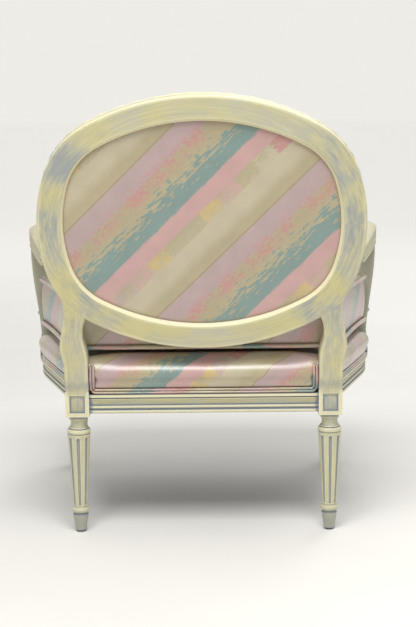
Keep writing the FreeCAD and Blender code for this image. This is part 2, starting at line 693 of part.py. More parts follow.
def ring_section():
    """The frame's section, inwards from the oval's outer edge and forwards from its rear face."""
    def place(inward, forward):
        return Vector(0, OVAL_RISE - OVAL_HALF_HEIGHT + inward, forward)

    soft = RING_EDGE_ROUND * (1 - math.sqrt(0.5))
    lip = RING_FACE + RING_BEVEL
    section = Outline(place, (0, RING_EDGE_ROUND))
    section.arc((soft, soft), (RING_EDGE_ROUND, 0))
    section.line(RING_FACE, 0)
    section.line(lip, RING_RECESS)
    section.line(lip, LEDGE_REAR)
    section.line(lip + LEDGE_WIDTH, LEDGE_REAR)
    section.line(lip + LEDGE_WIDTH, LEDGE_FRONT)
    section.line(RING_FACE, LEDGE_FRONT)
    section.line(RING_FACE, BACK_THICKNESS)
    section.line(RING_COVE_END, BACK_THICKNESS)
    hollow = (RING_COVE_START + RING_COVE_END) / 2, BACK_THICKNESS - RING_COVE_DEPTH
    section.arc(hollow, (RING_COVE_START, BACK_THICKNESS))
    section.line(RING_EDGE_ROUND, BACK_THICKNESS)
    section.arc((soft, BACK_THICKNESS - soft), (0, BACK_THICKNESS - RING_EDGE_ROUND))
    return section.face()


def ring_half():
    """The left half of the whole oval frame, drawn flat."""
    low, high = OVAL_LOW_ANGLE, OVAL_HIGH_ANGLE
    (sx, _), (cx, cy), (_, ty) = OVAL_SIDE, OVAL_CORNER, OVAL_TOP
    edges = [
        arc_edge((0, -ty), OVAL_TOP_RADIUS, -90, -high),
        arc_edge((cx, -cy), OVAL_CORNER_RADIUS, -high, -low),
        arc_edge((sx, 0), OVAL_SIDE_RADIUS, -low, low),
        arc_edge((cx, cy), OVAL_CORNER_RADIUS, low, high),
        arc_edge((0, ty), OVAL_TOP_RADIUS, high, 90),
    ]
    path = Part.Wire(edges).translated(Vector(0, OVAL_RISE, 0))
    return path.makePipe(ring_section())


def above_crest_seam():
    """The room over the left crest joint, a cut that points at the oval's middle."""
    room = box((0, FAR), (0, FAR), (-FAR, FAR))
    return room.rotated(ORIGIN, UP, CREST_SEAM_ANGLE).translated(Vector(0, OVAL_RISE, 0))


def below_bottom_seam():
    """The room of the bottom rail, between the two upright joints."""
    return box((-FAR, BOTTOM_SEAM_X), (-FAR, OVAL_RISE), (-FAR, FAR))


def crest_rail():
    half = ring_half().common(above_crest_seam())
    return leaned(joined(half, mirrored(half))).cut(back_dowels(DOWEL_FIT))


def back_bottom_rail():
    half = ring_half().common(below_bottom_seam())
    return leaned(joined(half, mirrored(half))).cut(back_dowels(DOWEL_FIT))


def stile():
    """The left stile drawn flat: up from the block, swelling at the shoulder, drawn in, then into the oval."""
    half = BLOCK_WIDTH / 2
    outer, inner = REAR_LEG_X + half, REAR_LEG_X - half
    (cx, cy) = OVAL_CORNER
    way = heading_normal(STILE_JOIN_ANGLE)
    join = cx + OVAL_CORNER_RADIUS * way[0], OVAL_RISE - cy - OVAL_CORNER_RADIUS * way[1]
    bite = RING_FACE / 3
    drop = math.sqrt(OVAL_CORNER_RADIUS ** 2 - (BOTTOM_SEAM_X - cx) ** 2)
    foot = BOTTOM_SEAM_X, OVAL_RISE - cy - drop
    shape = Outline(in_plan, (inner, -STILE_RUNOUT))
    shape.line(outer, -STILE_RUNOUT)
    shape.line(outer, SHOULDER_START)
    swells = [(outer + SHOULDER_SWELL, SHOULDER_HEIGHT), (outer - NECK_INSET, NECK_LEVEL), join]
    shape.curve(swells, (0, 1), (way[1], way[0]))
    shape.line(join[0] - bite * way[0], join[1] + bite * way[1])
    shape.line(foot[0], foot[1] + bite)
    shape.line(*foot)
    shape.curve([(inner + HOLLOW_DEPTH, HOLLOW_LEVEL), (inner, HOLLOW_START)], (1, -HOLLOW_TOP_SLOPE), (0, -1))
    slab = shape.face().extrude(UP * BACK_THICKNESS)
    soft = [edge for edge in slab.Edges if is_stile_edge(edge, inner, outer, foot[1])]
    return slab.makeFillet(RING_EDGE_ROUND, soft)


def is_stile_edge(edge, inner, outer, top):
    """Whether an edge of the flat stile is one of its long edges, which are rounded."""
    spot = edge.valueAt((edge.FirstParameter + edge.LastParameter) / 2)
    level = edge.BoundBox.ZLength < FIT
    straight = edge.BoundBox.XLength < FIT and spot.y < top and edge.BoundBox.YLength > STILE_RUNOUT
    curved = edge.Curve.TypeId == "Part::GeomBSplineCurve"
    return level and (straight or curved) and inner - FIT < spot.x < outer + SHOULDER_SWELL + FIT


def rear_leg():
    """The left rear leg in one piece: turned leg, block, stile and the side of the oval."""
    side = ring_half().cut([above_crest_seam(), below_bottom_seam()])
    upper = leaned(side.fuse(stile()))
    lower = turned_leg().fuse(leg_block(BLOCK_HEIGHT, ("outer", "rear")))
    leg = joined(moved(lower, REAR_LEG_X, REAR_LEG_Y), upper)
    return leg.cut(seat_dowels(DOWEL_FIT)).cut(back_dowels(DOWEL_FIT)).cut(arm_dowels(DOWEL_FIT))


def front_leg():
    """The left front leg: turned leg and a block that ends level with the rails."""
    leg = joined(turned_leg(), leg_block(RAIL_TOP - BLOCK_BOTTOM, ("outer", "front")))
    return moved(leg, FRONT_LEG_X, FRONT_LEG_Y).cut(seat_dowels(DOWEL_FIT))


def back_dowels(fit=0.0):
    """Two dowels in each crest joint and each bottom rail joint."""
    middle = (LEDGE_REAR + RING_RECESS) / 2 + DOWEL_DIAMETER / 4
    way = heading_normal(CREST_SEAM_ANGLE)
    (cx, cy) = OVAL_CORNER
    toward = cx * way[0] + cy * way[1]
    outer = toward + math.sqrt(OVAL_CORNER_RADIUS ** 2 - (cx ** 2 + cy ** 2 - toward ** 2))
    pins = []
    for share in (1, 3):
        reach = outer - share * RING_FACE / 4
        spot = Vector(reach * way[0], OVAL_RISE + reach * way[1], middle)
        pins.append(dowel(spot, (-way[1], way[0], 0), fit))
        drop = math.sqrt(OVAL_CORNER_RADIUS ** 2 - (BOTTOM_SEAM_X - cx) ** 2)
        level = OVAL_RISE - cy - drop + share * RING_FACE / 4 + DOWEL_DIAMETER
        pins.append(dowel(Vector(BOTTOM_SEAM_X, level, middle), (1, 0, 0), fit))
    return both(leaned(Part.makeCompound(pins)))


# Arms


def arm_path():
    """The arm's middle line in plan, from inside the oval frame to the middle of its round front end."""
    rise = ARM_BOTTOM + ARM_HEIGHT / 2 + ARM_REAR_LIFT - BLOCK_TOP
    lean = math.radians(RECLINE)
    up_back = (rise + BACK_THICKNESS * math.sin(lean)) / math.cos(lean)
    level = OVAL_RISE - up_back
    (cx, cy) = OVAL_CORNER
    edge_x = cx + math.sqrt(OVAL_CORNER_RADIUS ** 2 - (level - cy) ** 2)
    start = Vector(edge_x - ARM_REAR_INSET, up_back * math.sin(lean), 0)
    end = Vector(ARM_FRONT_X, ARM_FRONT_Y, 0)
    sideways = (end - start).cross(UP).normalize()
    middle = (start + end) * 0.5 - sideways * ARM_BOW
    return Part.Arc(start, middle, end)


def arm_half_section(share):
    """Half of the arm's section, out from its middle and up: bead band, groove, upright side, crowned top."""
    half = ARM_FRONT_WIDTH / 2
    crown = ARM_HEIGHT - ARM_SIDE_HEIGHT
    radius = (half ** 2 + crown ** 2) / (2 * crown)
    center = ARM_HEIGHT - radius
    lean = math.asin(half / radius) / 2
    groove = ARM_BAND_HEIGHT + ARM_GROOVE_HEIGHT

    def place(out, up):
        return Vector(out * share, 0, up * share)

    section = Outline(place, (0, 0))
    section.line(half - ARM_BAND_SINK, 0)
    section.arc((half, ARM_BAND_HEIGHT / 2), (half - ARM_BAND_SINK, ARM_BAND_HEIGHT))
    section.line(half - ARM_GROOVE_DEPTH, ARM_BAND_HEIGHT)
    section.line(half - ARM_GROOVE_DEPTH, groove)
    section.line(half, groove)
    section.line(half, ARM_SIDE_HEIGHT)
    section.arc((radius * math.sin(lean), center + radius * math.cos(lean)), (0, ARM_HEIGHT))
    return section.wire()


def arm():
    """The left arm, widening forwards to a round end, cut against the front face of the oval frame."""
    path = arm_path()
    halves = []
    for side in (1, -1):
        wires = []
        for step in range(ARM_STATIONS + 1):
            along = step / ARM_STATIONS
            share = (ARM_REAR_WIDTH + (ARM_FRONT_WIDTH - ARM_REAR_WIDTH) * along) / ARM_FRONT_WIDTH
            wire = arm_half_section(share)
            wire = wire if side == 1 else mirrored(wire)
            wires.append(on_arm_path(wire, path, along, share))
        halves.append(Part.makeLoft(wires, True, False))
    nose = Part.Face(on_arm_path(arm_half_section(1), path, 1, 1))
    end = path.EndPoint
    nose = nose.revolve(end, UP, -180)
    whole = joined(*halves, nose)
    behind = leaned(box((-FAR, FAR), (-FAR, FAR), (-FAR, BACK_THICKNESS)))
    whole = whole.cut(behind)
    arm_solid = max(whole.Solids, key=lambda solid: solid.Volume)
    return arm_solid.cut(arm_dowels(DOWEL_FIT))


def on_arm_path(wire, path, along, share):
    """Puts an arm section square across the arm's middle line, a share of the way from back to front."""
    at = path.FirstParameter + (path.LastParameter - path.FirstParameter) * along
    tangent = path.tangent(at)[0]
    turn = math.degrees(math.atan2(tangent.x, -tangent.y))
    spot = path.value(at)
    lift = (1 - share) * ARM_HEIGHT / 2 + (1 - along) * ARM_REAR_LIFT
    return wire.rotated(ORIGIN, UP, turn).translated(Vector(spot.x, spot.y, ARM_BOTTOM + lift))


def arm_post():
    """The left arm post, sawn to a curve in two directions, from the side rail to the underside of the arm."""
    low, high = RAIL_TOP, ARM_BOTTOM
    waist = low + (high - low) * POST_WAIST_SHARE
    top_x = ARM_FRONT_X
    mid_x = (POST_BASE_X + top_x) / 2 + POST_SWELL
    mid_width = (POST_BASE_WIDTH + POST_TOP_WIDTH) / 2
    front = Outline(from_front, (POST_BASE_X - POST_BASE_WIDTH / 2, low))
    front.line(POST_BASE_X + POST_BASE_WIDTH / 2, low)
    front.curve([(mid_x + mid_width / 2, waist), (top_x + POST_TOP_WIDTH / 2, high)], (0, 1), (0, 1))
    front.line(top_x - POST_TOP_WIDTH / 2, high)
    front.curve([(mid_x - mid_width / 2, waist), (POST_BASE_X - POST_BASE_WIDTH / 2, low)], (0, -1), (0, -1))
    mid_y = (POST_BASE_Y + POST_TOP_Y) / 2
    side = Outline(from_side, (POST_BASE_Y - POST_BASE_DEPTH / 2, low))
    side.line(POST_BASE_Y + POST_BASE_DEPTH / 2, low)
    side.curve([(mid_y + POST_WAIST_DEPTH / 2, waist), (POST_TOP_Y + POST_TOP_DEPTH / 2, high)])
    side.line(POST_TOP_Y - POST_TOP_DEPTH / 2, high)
    side.curve([(mid_y - POST_WAIST_DEPTH / 2, waist), (POST_BASE_Y - POST_BASE_DEPTH / 2, low)])
    from_the_front = moved(front.face(), y=-FAR / 2).extrude(Vector(0, FAR, 0))
    from_the_side = side.face().extrude(Vector(FAR, 0, 0))
    return from_the_front.common(from_the_side).cut(arm_dowels(DOWEL_FIT))


def arm_dowels(fit=0.0):
    """A dowel from each arm into the frame, one from each post up into its arm and one down into the rail."""
    path = arm_path()
    start = path.value(path.FirstParameter)
    tangent = path.tangent(path.FirstParameter)[0]
    lean = math.radians(RECLINE)
    seat = start + tangent * (BACK_THICKNESS / math.cos(lean))
    level = ARM_BOTTOM + ARM_HEIGHT / 2 + ARM_REAR_LIFT
    pins = [
        dowel(Vector(seat.x, seat.y, level), (tangent.x, tangent.y, 0), fit),
        dowel(Vector(ARM_FRONT_X, POST_TOP_Y, ARM_BOTTOM), (0, 0, 1), fit),
        dowel(Vector(POST_BASE_X + POST_BASE_WIDTH / 5, POST_BASE_Y, RAIL_TOP), (0, 0, 1), fit),
    ]
    return both(Part.makeCompound(pins))


# Back upholstery


def back_outer_cover():
    """The outside-back fabric, sunk in the rear of the oval."""
    return leaned(oval_plate(RING_FACE + RING_BEVEL + FIT, RING_RECESS, RING_RECESS + CLOTH))


def back_board():
    """The stiff board under the outside-back fabric, resting on the frame's ledge."""
    near = RING_RECESS + CLOTH
    return leaned(oval_plate(RING_FACE + RING_BEVEL + FIT, near, near + OUTER_PANEL_BOARD))


def back_webbing():
    """Upright and level straps tacked across the front of the ledge."""
    rim = oval_plate(RING_FACE + LEDGE_WIDTH / 2, 0, BACK_THICKNESS)
    near = LEDGE_FRONT, LEDGE_FRONT + STRAP_THICKNESS
    over = near[1], near[1] + STRAP_THICKNESS
    half = STRAP_WIDTH / 2
    straps = []
    for index in range(BACK_STRAPS):
        shift = (index - (BACK_STRAPS - 1) / 2) * BACK_STRAP_PITCH
        straps.append(box((shift - half, shift + half), (-FAR, FAR), over).common(rim))
        level = OVAL_RISE + shift
        straps.append(box((-FAR, FAR), (level - half, level + half), near).common(rim))
    return leaned(Part.makeCompound(straps))


def back_pad():
    """The flat inner pad of the inside back, on the webbing."""
    return leaned(oval_plate(RING_FACE + BACK_PAD_INSET, PAD_NEAR, BACK_THICKNESS + BACK_PAD_PROUD))


def back_inner_cover():
    """The crowned, wadded inside-back cover over its pad, tacked in the frame's front rebate."""
    rings = [(1.0, PAD_NEAR)] + crown_rings(BACK_THICKNESS, BACK_CROWN)
    cover = ruled_pillow(oval_wire(RING_FACE + FIT), rings)
    room = oval_plate(RING_FACE + BACK_PAD_INSET - FIT, PAD_NEAR - FIT, BACK_THICKNESS + BACK_PAD_PROUD + FIT)
    return leaned(cover.cut(room))


def back_front_welt():
    """Two cords side by side round the inside back, on the front face of the frame."""
    depth = BACK_THICKNESS + DOUBLE_WELT_RADIUS
    inner = RING_FACE - DOUBLE_WELT_RADIUS
    outer = inner - 2 * DOUBLE_WELT_RADIUS - FIT / 2
    return leaned(Part.makeCompound([tube(oval_wire(i, depth), DOUBLE_WELT_RADIUS) for i in (inner, outer)]))


# Seat upholstery


def seat_notches(gap):
    """The room round the rear blocks, the stiles and the arm posts that the seat's covering leaves free."""
    inner = REAR_LEG_X - BLOCK_WIDTH / 2 - gap
    rear = box((inner, FAR), (-BLOCK_WIDTH - gap, FAR), (0, FAR))
    half = POST_BASE_DEPTH / 2 + gap
    post = box((POST_BASE_X - POST_BASE_WIDTH / 2 - gap, FAR), (POST_BASE_Y - half, POST_BASE_Y + half), (0, FAR))
    return [rear, post, mirrored(rear), mirrored(post)]


def seat_sheet(out, gap, low, high):
    """A flat layer with the seat's outline, notched round the rear blocks and the posts."""
    face = Part.Face(seat_outline(out, -DECK_REAR_INSET + out, DECK_CORNER))
    return moved(face, z=low).extrude(UP * (high - low)).cut(seat_notches(gap))


def seat_webbing_long():
    """Straps from the rear rail to the front rail, on top of the rails."""
    rim = moved(Part.Face(seat_outline(-HESSIAN_INSET, -HESSIAN_INSET, DECK_CORNER)), z=STRAP_Z)
    rim = rim.extrude(UP * STRAP_THICKNESS)
    half = STRAP_WIDTH / 2
    shifts = [(i - (SEAT_STRAP_LENGTHWISE - 1) / 2) * SEAT_STRAP_PITCH for i in range(SEAT_STRAP_LENGTHWISE)]
    return Part.makeCompound([box((x - half, x + half), (-FAR, FAR), (0, FAR)).common(rim) for x in shifts])


def seat_webbing_cross():
    """Straps from side rail to side rail, over the long ones."""
    rim = moved(Part.Face(seat_outline(-HESSIAN_INSET, -HESSIAN_INSET, DECK_CORNER)), z=STRAP_Z + STRAP_THICKNESS)
    rim = rim.extrude(UP * STRAP_THICKNESS)
    half = STRAP_WIDTH / 2
    return Part.makeCompound([box((-FAR, FAR), (y - half, y + half), (0, FAR)).common(rim)
                              for y in SEAT_STRAP_CROSS_Y])


def seat_hessian():
    """The coarse cloth over the webbing."""
    return seat_sheet(-HESSIAN_INSET, DECK_NOTCH_GAP, HESSIAN_Z, HESSIAN_Z + CLOTH)


def deck_pad():
    """The firm pad of the deck."""
    gap = DECK_NOTCH_GAP + DECK_WADDING
    return seat_sheet(-DECK_WADDING - FIT, gap + FIT, DECK_Z, DECK_Z + DECK_PAD_HEIGHT)


def deck_cover():
    """The deck's tight cover: drawn-in foot, bulging sides, rolled edges and a low crown, notched for the frame."""
    side = DECK_HEIGHT * DECK_SIDE_SHARE
    knee = DECK_Z + DECK_FOOT_HEIGHT
    foot = [(1 - DECK_FOOT_INSET, DECK_Z), (1 - DECK_FOOT_INSET, knee)]
    bulge = swell_rings(knee, side - DECK_FOOT_HEIGHT, DECK_SWELL)
    bulge[0] = (1.0, knee + FIT)
    rings = foot + bulge + crown_rings(DECK_Z + side, DECK_HEIGHT - side)
    cover = ruled_pillow(seat_outline(0, -DECK_REAR_INSET, DECK_CORNER), rings)
    rebate = box((rear_welt_side(SECOND_CORD), FAR), (rear_welt_face(), FAR), (0, FAR))
    cover = cover.cut(seat_notches(DECK_NOTCH_GAP) + [rebate, mirrored(rebate)])
    gap = DECK_NOTCH_GAP + DECK_WADDING
    room = seat_sheet(-DECK_WADDING, gap, DECK_Z - FIT, DECK_Z + DECK_PAD_HEIGHT + FIT)
    return cover.cut(room)


def deck_welt():
    """Two cords along the deck's foot: round the sides and front, and a U between the stiles."""
    cords = []
    for row in (FIRST_CORD, SECOND_CORD):
        z = RAIL_TOP + DOUBLE_WELT_RADIUS + row * (2 * DOUBLE_WELT_RADIUS + FIT / 2) + FIT
        out = DOUBLE_WELT_RADIUS + FIT - DECK_FOOT_INSET * SEAT_REAR_HALF_WIDTH
        edges = seat_side(out, z) + [seat_front(out, z)] + [mirrored(edge) for edge in seat_side(out, z)]
        cord = tube(Part.Wire(Part.__sortEdges__(edges)), DOUBLE_WELT_RADIUS)
        cords += cord.cut(seat_notches(FIT)).Solids
        cords.append(rear_welt(row))
    return Part.makeCompound(cords)


def rear_welt_face():
    """How far back the deck's foot reaches between the stiles, where the cords of the U lie against it."""
    outline = seat_outline(0, -DECK_REAR_INSET, DECK_CORNER)
    reach = -DECK_REAR_INSET - outline.BoundBox.Center.y
    return -DECK_REAR_INSET - DECK_FOOT_INSET * reach


def rear_welt_side(row):
    """How far from the middle a cord of the U ends on its inner side."""
    step = row * (2 * DOUBLE_WELT_RADIUS + FIT / 2)
    return REAR_LEG_X - BLOCK_WIDTH / 2 - 2 * DOUBLE_WELT_RADIUS - 2 * FIT - step


def rear_welt(row):
    """One cord of the U between the stiles: down one stile, along the rear rail and up the other."""
    step = row * (2 * DOUBLE_WELT_RADIUS + FIT / 2)
    side = rear_welt_side(row) + DOUBLE_WELT_RADIUS + FIT
    low = RAIL_TOP + DOUBLE_WELT_RADIUS + FIT + step
    high = DECK_Z + DECK_HEIGHT * DECK_WELT_SHARE
    bend = 4 * DOUBLE_WELT_RADIUS - step
    y = rear_welt_face() + DOUBLE_WELT_RADIUS + FIT

    def place(u, v):
        return Vector(u, y, v)

    slack = bend * (1 - math.sqrt(0.5))
    path = Outline(place, (side, high))
    path.line(side, low + bend)
    path.arc((side - slack, low + slack), (side - bend, low))
    path.line(-side + bend, low)
    path.arc((-side + slack, low + slack), (-side, low + bend))
    path.line(-side, high)
    return tube(Part.Wire(path.edges), DOUBLE_WELT_RADIUS)


def dust_cover():
    """The thin dark cloth under the seat frame, notched round the leg blocks."""
    face = Part.Face(seat_outline(-DUST_COVER_INSET, -DUST_COVER_INSET, DECK_CORNER))
    sheet = moved(face, z=RAIL_BOTTOM - CLOTH).extrude(UP * CLOTH)
    spots = (REAR_LEG_X, REAR_LEG_Y), (FRONT_LEG_X, FRONT_LEG_Y)
    half = BLOCK_WIDTH / 2 + FIT
    rooms = [box((x - half, FAR), (y - half, y + half), (0, FAR)) for x, y in spots]
    return sheet.cut(rooms + [mirrored(room) for room in rooms])


# Loose cushion


def cushion_outline():
    """The cushion's seam outline in plan: straight rear, flaring sides, a notch at each post, bowed front."""
    out = -CUSHION_INSET
    ear_y = POST_BASE_Y + POST_BASE_DEPTH / 2 + CUSHION_EAR_GAP
    front_y = POST_TOP_Y - POST_TOP_DEPTH / 2 - CUSHION_FRONT_GAP
    middle_y = (CUSHION_REAR_Y + ear_y) / 2
    deep = POST_BASE_X - POST_BASE_WIDTH / 2 - CUSHION_POST_GAP
    corner = arc_edge(CORNER_CENTER, FRONT_CORNER_RADIUS + out, -FRONT_CORNER_TURN, 0)
    start = corner.valueAt(corner.LastParameter)
    side = Outline(in_plan, (rail_half_width(-BLOCK_WIDTH, out), CUSHION_REAR_Y))
    side.arc((rail_half_width(middle_y, out), middle_y), (rail_half_width(ear_y, out), ear_y))
    side.line(deep, ear_y)
    side.line(deep, front_y)
    side.line(rail_half_width(front_y, out), front_y)
    side.line(start.x, start.y)
    left = side.edges + [corner]
    rear = Vector(side.start[0], CUSHION_REAR_Y, 0)
    back = Part.LineSegment(Vector(-rear.x, rear.y, 0), rear).toShape()
    edges = [back, seat_front(out)] + left + [mirrored(edge) for edge in left]
    wire = Part.Wire(Part.__sortEdges__(edges))
    wire = wire.makeOffset2D(-CUSHION_CORNER).makeOffset2D(CUSHION_CORNER)
    return wire.makeOffset2D(CUSHION_NOTCH_ROUND).makeOffset2D(-CUSHION_NOTCH_ROUND)


def cushion_block(inset, low, high):
    """A flat block with the cushion's outline drawn in by inset."""
    outline = cushion_outline().makeOffset2D(-inset)
    return Part.Face(outline.translated(UP * low)).extrude(UP * (high - low))


def cushion_core():
    """The flat foam core."""
    low = BOTTOM_SEAM_Z + CUSHION_CORE_MARGIN
    return cushion_block(CUSHION_CORE_INSET, low, TOP_SEAM_Z - CUSHION_CORE_MARGIN)


def cushion_cover():
    """The filled cover: crowned above and below, boxing that swells a little between its two seams."""
    outline = cushion_outline()
    middle = Vector(0, outline.BoundBox.Center.y, 0)
    below = seam_to_crown(outline, BOTTOM_SEAM_Z, -CUSHION_DROP)[::-1]
    boxing = swell_rings(BOTTOM_SEAM_Z, CUSHION_BOXING, CUSHION_SWELL) + [(1.0, TOP_SEAM_Z)]
    boxing = [outline.scaled(share, middle).translated(UP * z) for share, z in boxing]
    above = seam_to_crown(outline, TOP_SEAM_Z, CUSHION_CROWN)
    cover = Part.makeLoft(below + boxing + above, True, True)
    low = BOTTOM_SEAM_Z + CUSHION_CORE_MARGIN - FIT
    return cover.cut(cushion_block(CUSHION_CORE_INSET - FIT, low, TOP_SEAM_Z - CUSHION_CORE_MARGIN + FIT))


def cushion_welt(z):
    """The cord round the cushion at one of its seams."""
    path = cushion_outline().makeOffset2D(CUSHION_WELT_RADIUS + CUSHION_WELT_FIT)
    return tube(path.translated(UP * z), CUSHION_WELT_RADIUS)


def build():
    """Every node of the chair, by name."""
    left = {
        "rear_leg": rear_leg(),
        "front_leg": front_leg(),
        "side_seat_rail": side_seat_rail(),
        "arm": arm(),
        "arm_post": arm_post(),
    }
    pieces = {name + "_left": shape for name, shape in left.items()}
    pieces.update({name + "_right": mirrored(shape) for name, shape in left.items()})
    pieces.update({
        "foot_glides": foot_glides(),
        "rear_seat_rail": rear_seat_rail(),
        "front_seat_rail": front_seat_rail(),
        "corner_blocks": corner_blocks(),
        "seat_dowels": seat_dowels(),
        "crest_rail": crest_rail(),
        "back_bottom_rail": back_bottom_rail(),
        "back_dowels": back_dowels(),
        "arm_dowels": arm_dowels(),
        "back_outer_cover": back_outer_cover(),
        "back_board": back_board(),
        "back_webbing": back_webbing(),
        "back_pad": back_pad(),
        "back_inner_cover": back_inner_cover(),
        "back_front_welt": back_front_welt(),
        "seat_webbing_long": seat_webbing_long(),
        "seat_webbing_cross": seat_webbing_cross(),
        "seat_hessian": seat_hessian(),
        "deck_pad": deck_pad(),
        "deck_cover": deck_cover(),
        "deck_welt": deck_welt(),
        "dust_cover": dust_cover(),
        "cushion_core": cushion_core(),
        "cushion_cover": cushion_cover(),
        "cushion_top_welt": cushion_welt(TOP_SEAM_Z),
        "cushion_bottom_welt": cushion_welt(BOTTOM_SEAM_Z),
    })
    return pieces


def main():
    os.makedirs("parts", exist_ok=True)
    pieces = build()
    whole = Part.makeCompound(list(pieces.values())).optimalBoundingBox(False, False)
    shift = Vector(-whole.Center.x, -whole.Center.y, -whole.ZMin)
    print("moved by", [round(v, 3) for v in shift])
    print("overall", [round(v, 2) for v in (whole.XLength, whole.YLength, whole.ZLength)])
    for name, shape in pieces.items():
        shape.translated(shift).exportStep("parts/" + name + ".step")


main()
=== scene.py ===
"""Dresses an oval-back open-arm chair: rubbed paint, striped satin upholstery, welts and a carved edge."""

import math

import bpy
import numpy as np
from bpy.props import FloatProperty, FloatVectorProperty, PointerProperty
from bpy.types import Operator, Panel, PropertyGroup
from mathutils import Euler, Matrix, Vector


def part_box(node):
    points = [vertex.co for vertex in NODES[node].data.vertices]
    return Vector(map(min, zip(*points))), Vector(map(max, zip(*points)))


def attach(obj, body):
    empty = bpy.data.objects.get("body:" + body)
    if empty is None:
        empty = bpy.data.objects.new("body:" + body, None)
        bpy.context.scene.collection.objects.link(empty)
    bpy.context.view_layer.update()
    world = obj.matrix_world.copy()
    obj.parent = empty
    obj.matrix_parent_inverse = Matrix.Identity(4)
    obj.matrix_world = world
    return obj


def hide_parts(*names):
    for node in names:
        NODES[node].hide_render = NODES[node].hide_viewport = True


bl_info = {
    "name": "Oval-back chair",
    "version": (1, 0, 0),
    "blender": (4, 5, 0),
    "location": "View3D > Sidebar > Chair",
    "description": "Finishes and upholsters an oval-back open-arm chair",
    "category": "Object",
}

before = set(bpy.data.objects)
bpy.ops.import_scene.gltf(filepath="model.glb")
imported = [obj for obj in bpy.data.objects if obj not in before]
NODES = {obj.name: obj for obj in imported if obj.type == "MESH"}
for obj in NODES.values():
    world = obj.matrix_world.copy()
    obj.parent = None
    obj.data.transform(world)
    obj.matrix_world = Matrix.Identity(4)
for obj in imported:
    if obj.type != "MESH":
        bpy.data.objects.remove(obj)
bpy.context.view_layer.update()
MM = 0.001

# Places that follow from the frame: the rail top, the rear face of the leg blocks and the block top
RAIL_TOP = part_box("rear_seat_rail")[1].z
BACK_FACE_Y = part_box("rear_seat_rail")[1].y + 3 * MM
BLOCK_TOP = RAIL_TOP + 8 * MM
REAR_INNER_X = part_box("rear_seat_rail")[1].x

# The oval back, drawn flat from three arcs a quarter, then leaned
RECLINE = math.radians(10)
BACK_THICKNESS = 32 * MM
OVAL_RISE = 328 * MM
OVAL_MIDDLE_Z = BLOCK_TOP + OVAL_RISE * math.cos(RECLINE)
OVAL_HALF_WIDTH, OVAL_HALF_HEIGHT = 304.5 * MM, 241.5 * MM
OVAL_SIDE_RADIUS, OVAL_TOP_RADIUS, OVAL_CORNER_RADIUS = 303 * MM, 442 * MM, 166 * MM
RING_FACE, RING_LIP, RING_RECESS = 42 * MM, 48 * MM, 9 * MM
RING_MEAN_RADIUS = 270 * MM

# Heights above the block top at which a stile turns into the oval and the oval's rear bevel begins
STILE_FOOT = 160 * MM
BEVEL_LOW = 110 * MM

# The leg blocks: x and y of their middles, half their width, half a sunk panel and its span of height
BLOCK_DEPTH = 45.5 * MM
BLOCK_MIDDLES = ((243 * MM, BACK_FACE_Y - BLOCK_DEPTH / 2), (284 * MM, BACK_FACE_Y - 506 * MM))
BLOCK_HALF, PANEL_HALF = 24 * MM, 14 * MM
PANEL_SPAN = BLOCK_TOP - 41 * MM, BLOCK_TOP - 10 * MM

# The oval's glued joints and the places where the glaze was left thick, as x and height from its middle
OVAL_JOINTS = ((218 * MM, -132 * MM), (254 * MM, 110 * MM))
HAZY_PLACES = (*OVAL_JOINTS, (284 * MM, 0.0))
HAZE_REACH, HAZE_CORE = 120 * MM, 15 * MM

# The seat's rail line in plan, from the rear block to the middle of the front
SEAT_REAR_HALF_WIDTH = 260.5 * MM
FLARE_AT_BLOCK, FLARE_AT_SIDE, CORNER_TURN = math.radians(6), math.radians(18.5), math.radians(78)
HOLLOW_RADIUS, SIDE_RUN, SIDE_RADIUS, CORNER_RADIUS = 480 * MM, 180 * MM, 390 * MM, 78 * MM

# The deck: its rolled rear edge, the swell of its rear face and sides, and its drawn-in foot
DECK_ROLL = 46 * MM
DECK_FOOT, DECK_HELD = 8 * MM, 13 * MM
REAR_SWELL, SIDE_SWELL, SIDE_LIFT = 9 * MM, 13 * MM, 9 * MM

# How far the stripes are shifted on each cover, and the spacing of the two cords of a double welt in radii
DECK_SHIFT, CUSHION_SHIFT, BACK_SHIFT = 72 * MM, 116 * MM, 98 * MM
WELT_STEP = 2.1

# The cloth simulation that swells a stuffed piece: its air pressure and its frames
STUFFING_PRESSURE, STUFFING_STEPS = 4.0, 20

# Finishes that are brushed round the oval, and the brush marks' noise cells per metre: marks of 100 by 5 mm
CURVED_GRAINS = ("ring", "stile")
MARKS_ALONG, MARKS_ACROSS = 10.0, 190.0

# How much glaze was left in each place, and how far the paint is rubbed, from 0 to 1
# On the arm posts' rear faces the glaze colour is partly glaze and partly painted shade
GLAZE = {"hollows": 0.95, "flats": 0.42, "joints": 0.34, "lines": 0.24, "nearby": 0.7, "stile_foot": 0.5,
         "feet": 0.6, "panels": 0.5, "posts": 0.5}
# The rubbed corners' share also paints the oval's rear bevel pale, a painted highlight
RUBBED_FLATS, RUBBED_CORNERS = 0.45, 0.8
HOLLOW_REACH, LEG_HOLLOW_MORE, NEARBY_REACH, CORNER_REACH = 6 * MM, 3 * MM, 45 * MM, 9 * MM
FEET_SPAN = 52 * MM, 34 * MM

WOOD_GRAIN = {
    "rear_leg_left": "stile", "rear_leg_right": "stile", "front_leg_left": "z", "front_leg_right": "z",
    "arm_post_left": "post", "arm_post_right": "post", "rear_seat_rail": "x", "front_seat_rail": "x",
    "crest_rail": "ring", "back_bottom_rail": "ring", "arm_left": "y", "arm_right": "y",
    "side_seat_rail_left": "y", "side_seat_rail_right": "y",
}


def linear(code):
    """A linear colour from an sRGB hex value."""
    channels = (int(code[i:i + 2], 16) / 255 for i in (1, 3, 5))
    return tuple(c / 12.92 if c <= 0.04045 else ((c + 0.055) / 1.055) ** 2.4 for c in channels)


def colour(name, description, code):
    return FloatVectorProperty(name=name, description=description, subtype="COLOR", size=3, min=0, max=1,
                               default=linear(code))


def length(name, description, value):
    return FloatProperty(name=name, description=description, subtype="DISTANCE", unit="LENGTH", default=value)


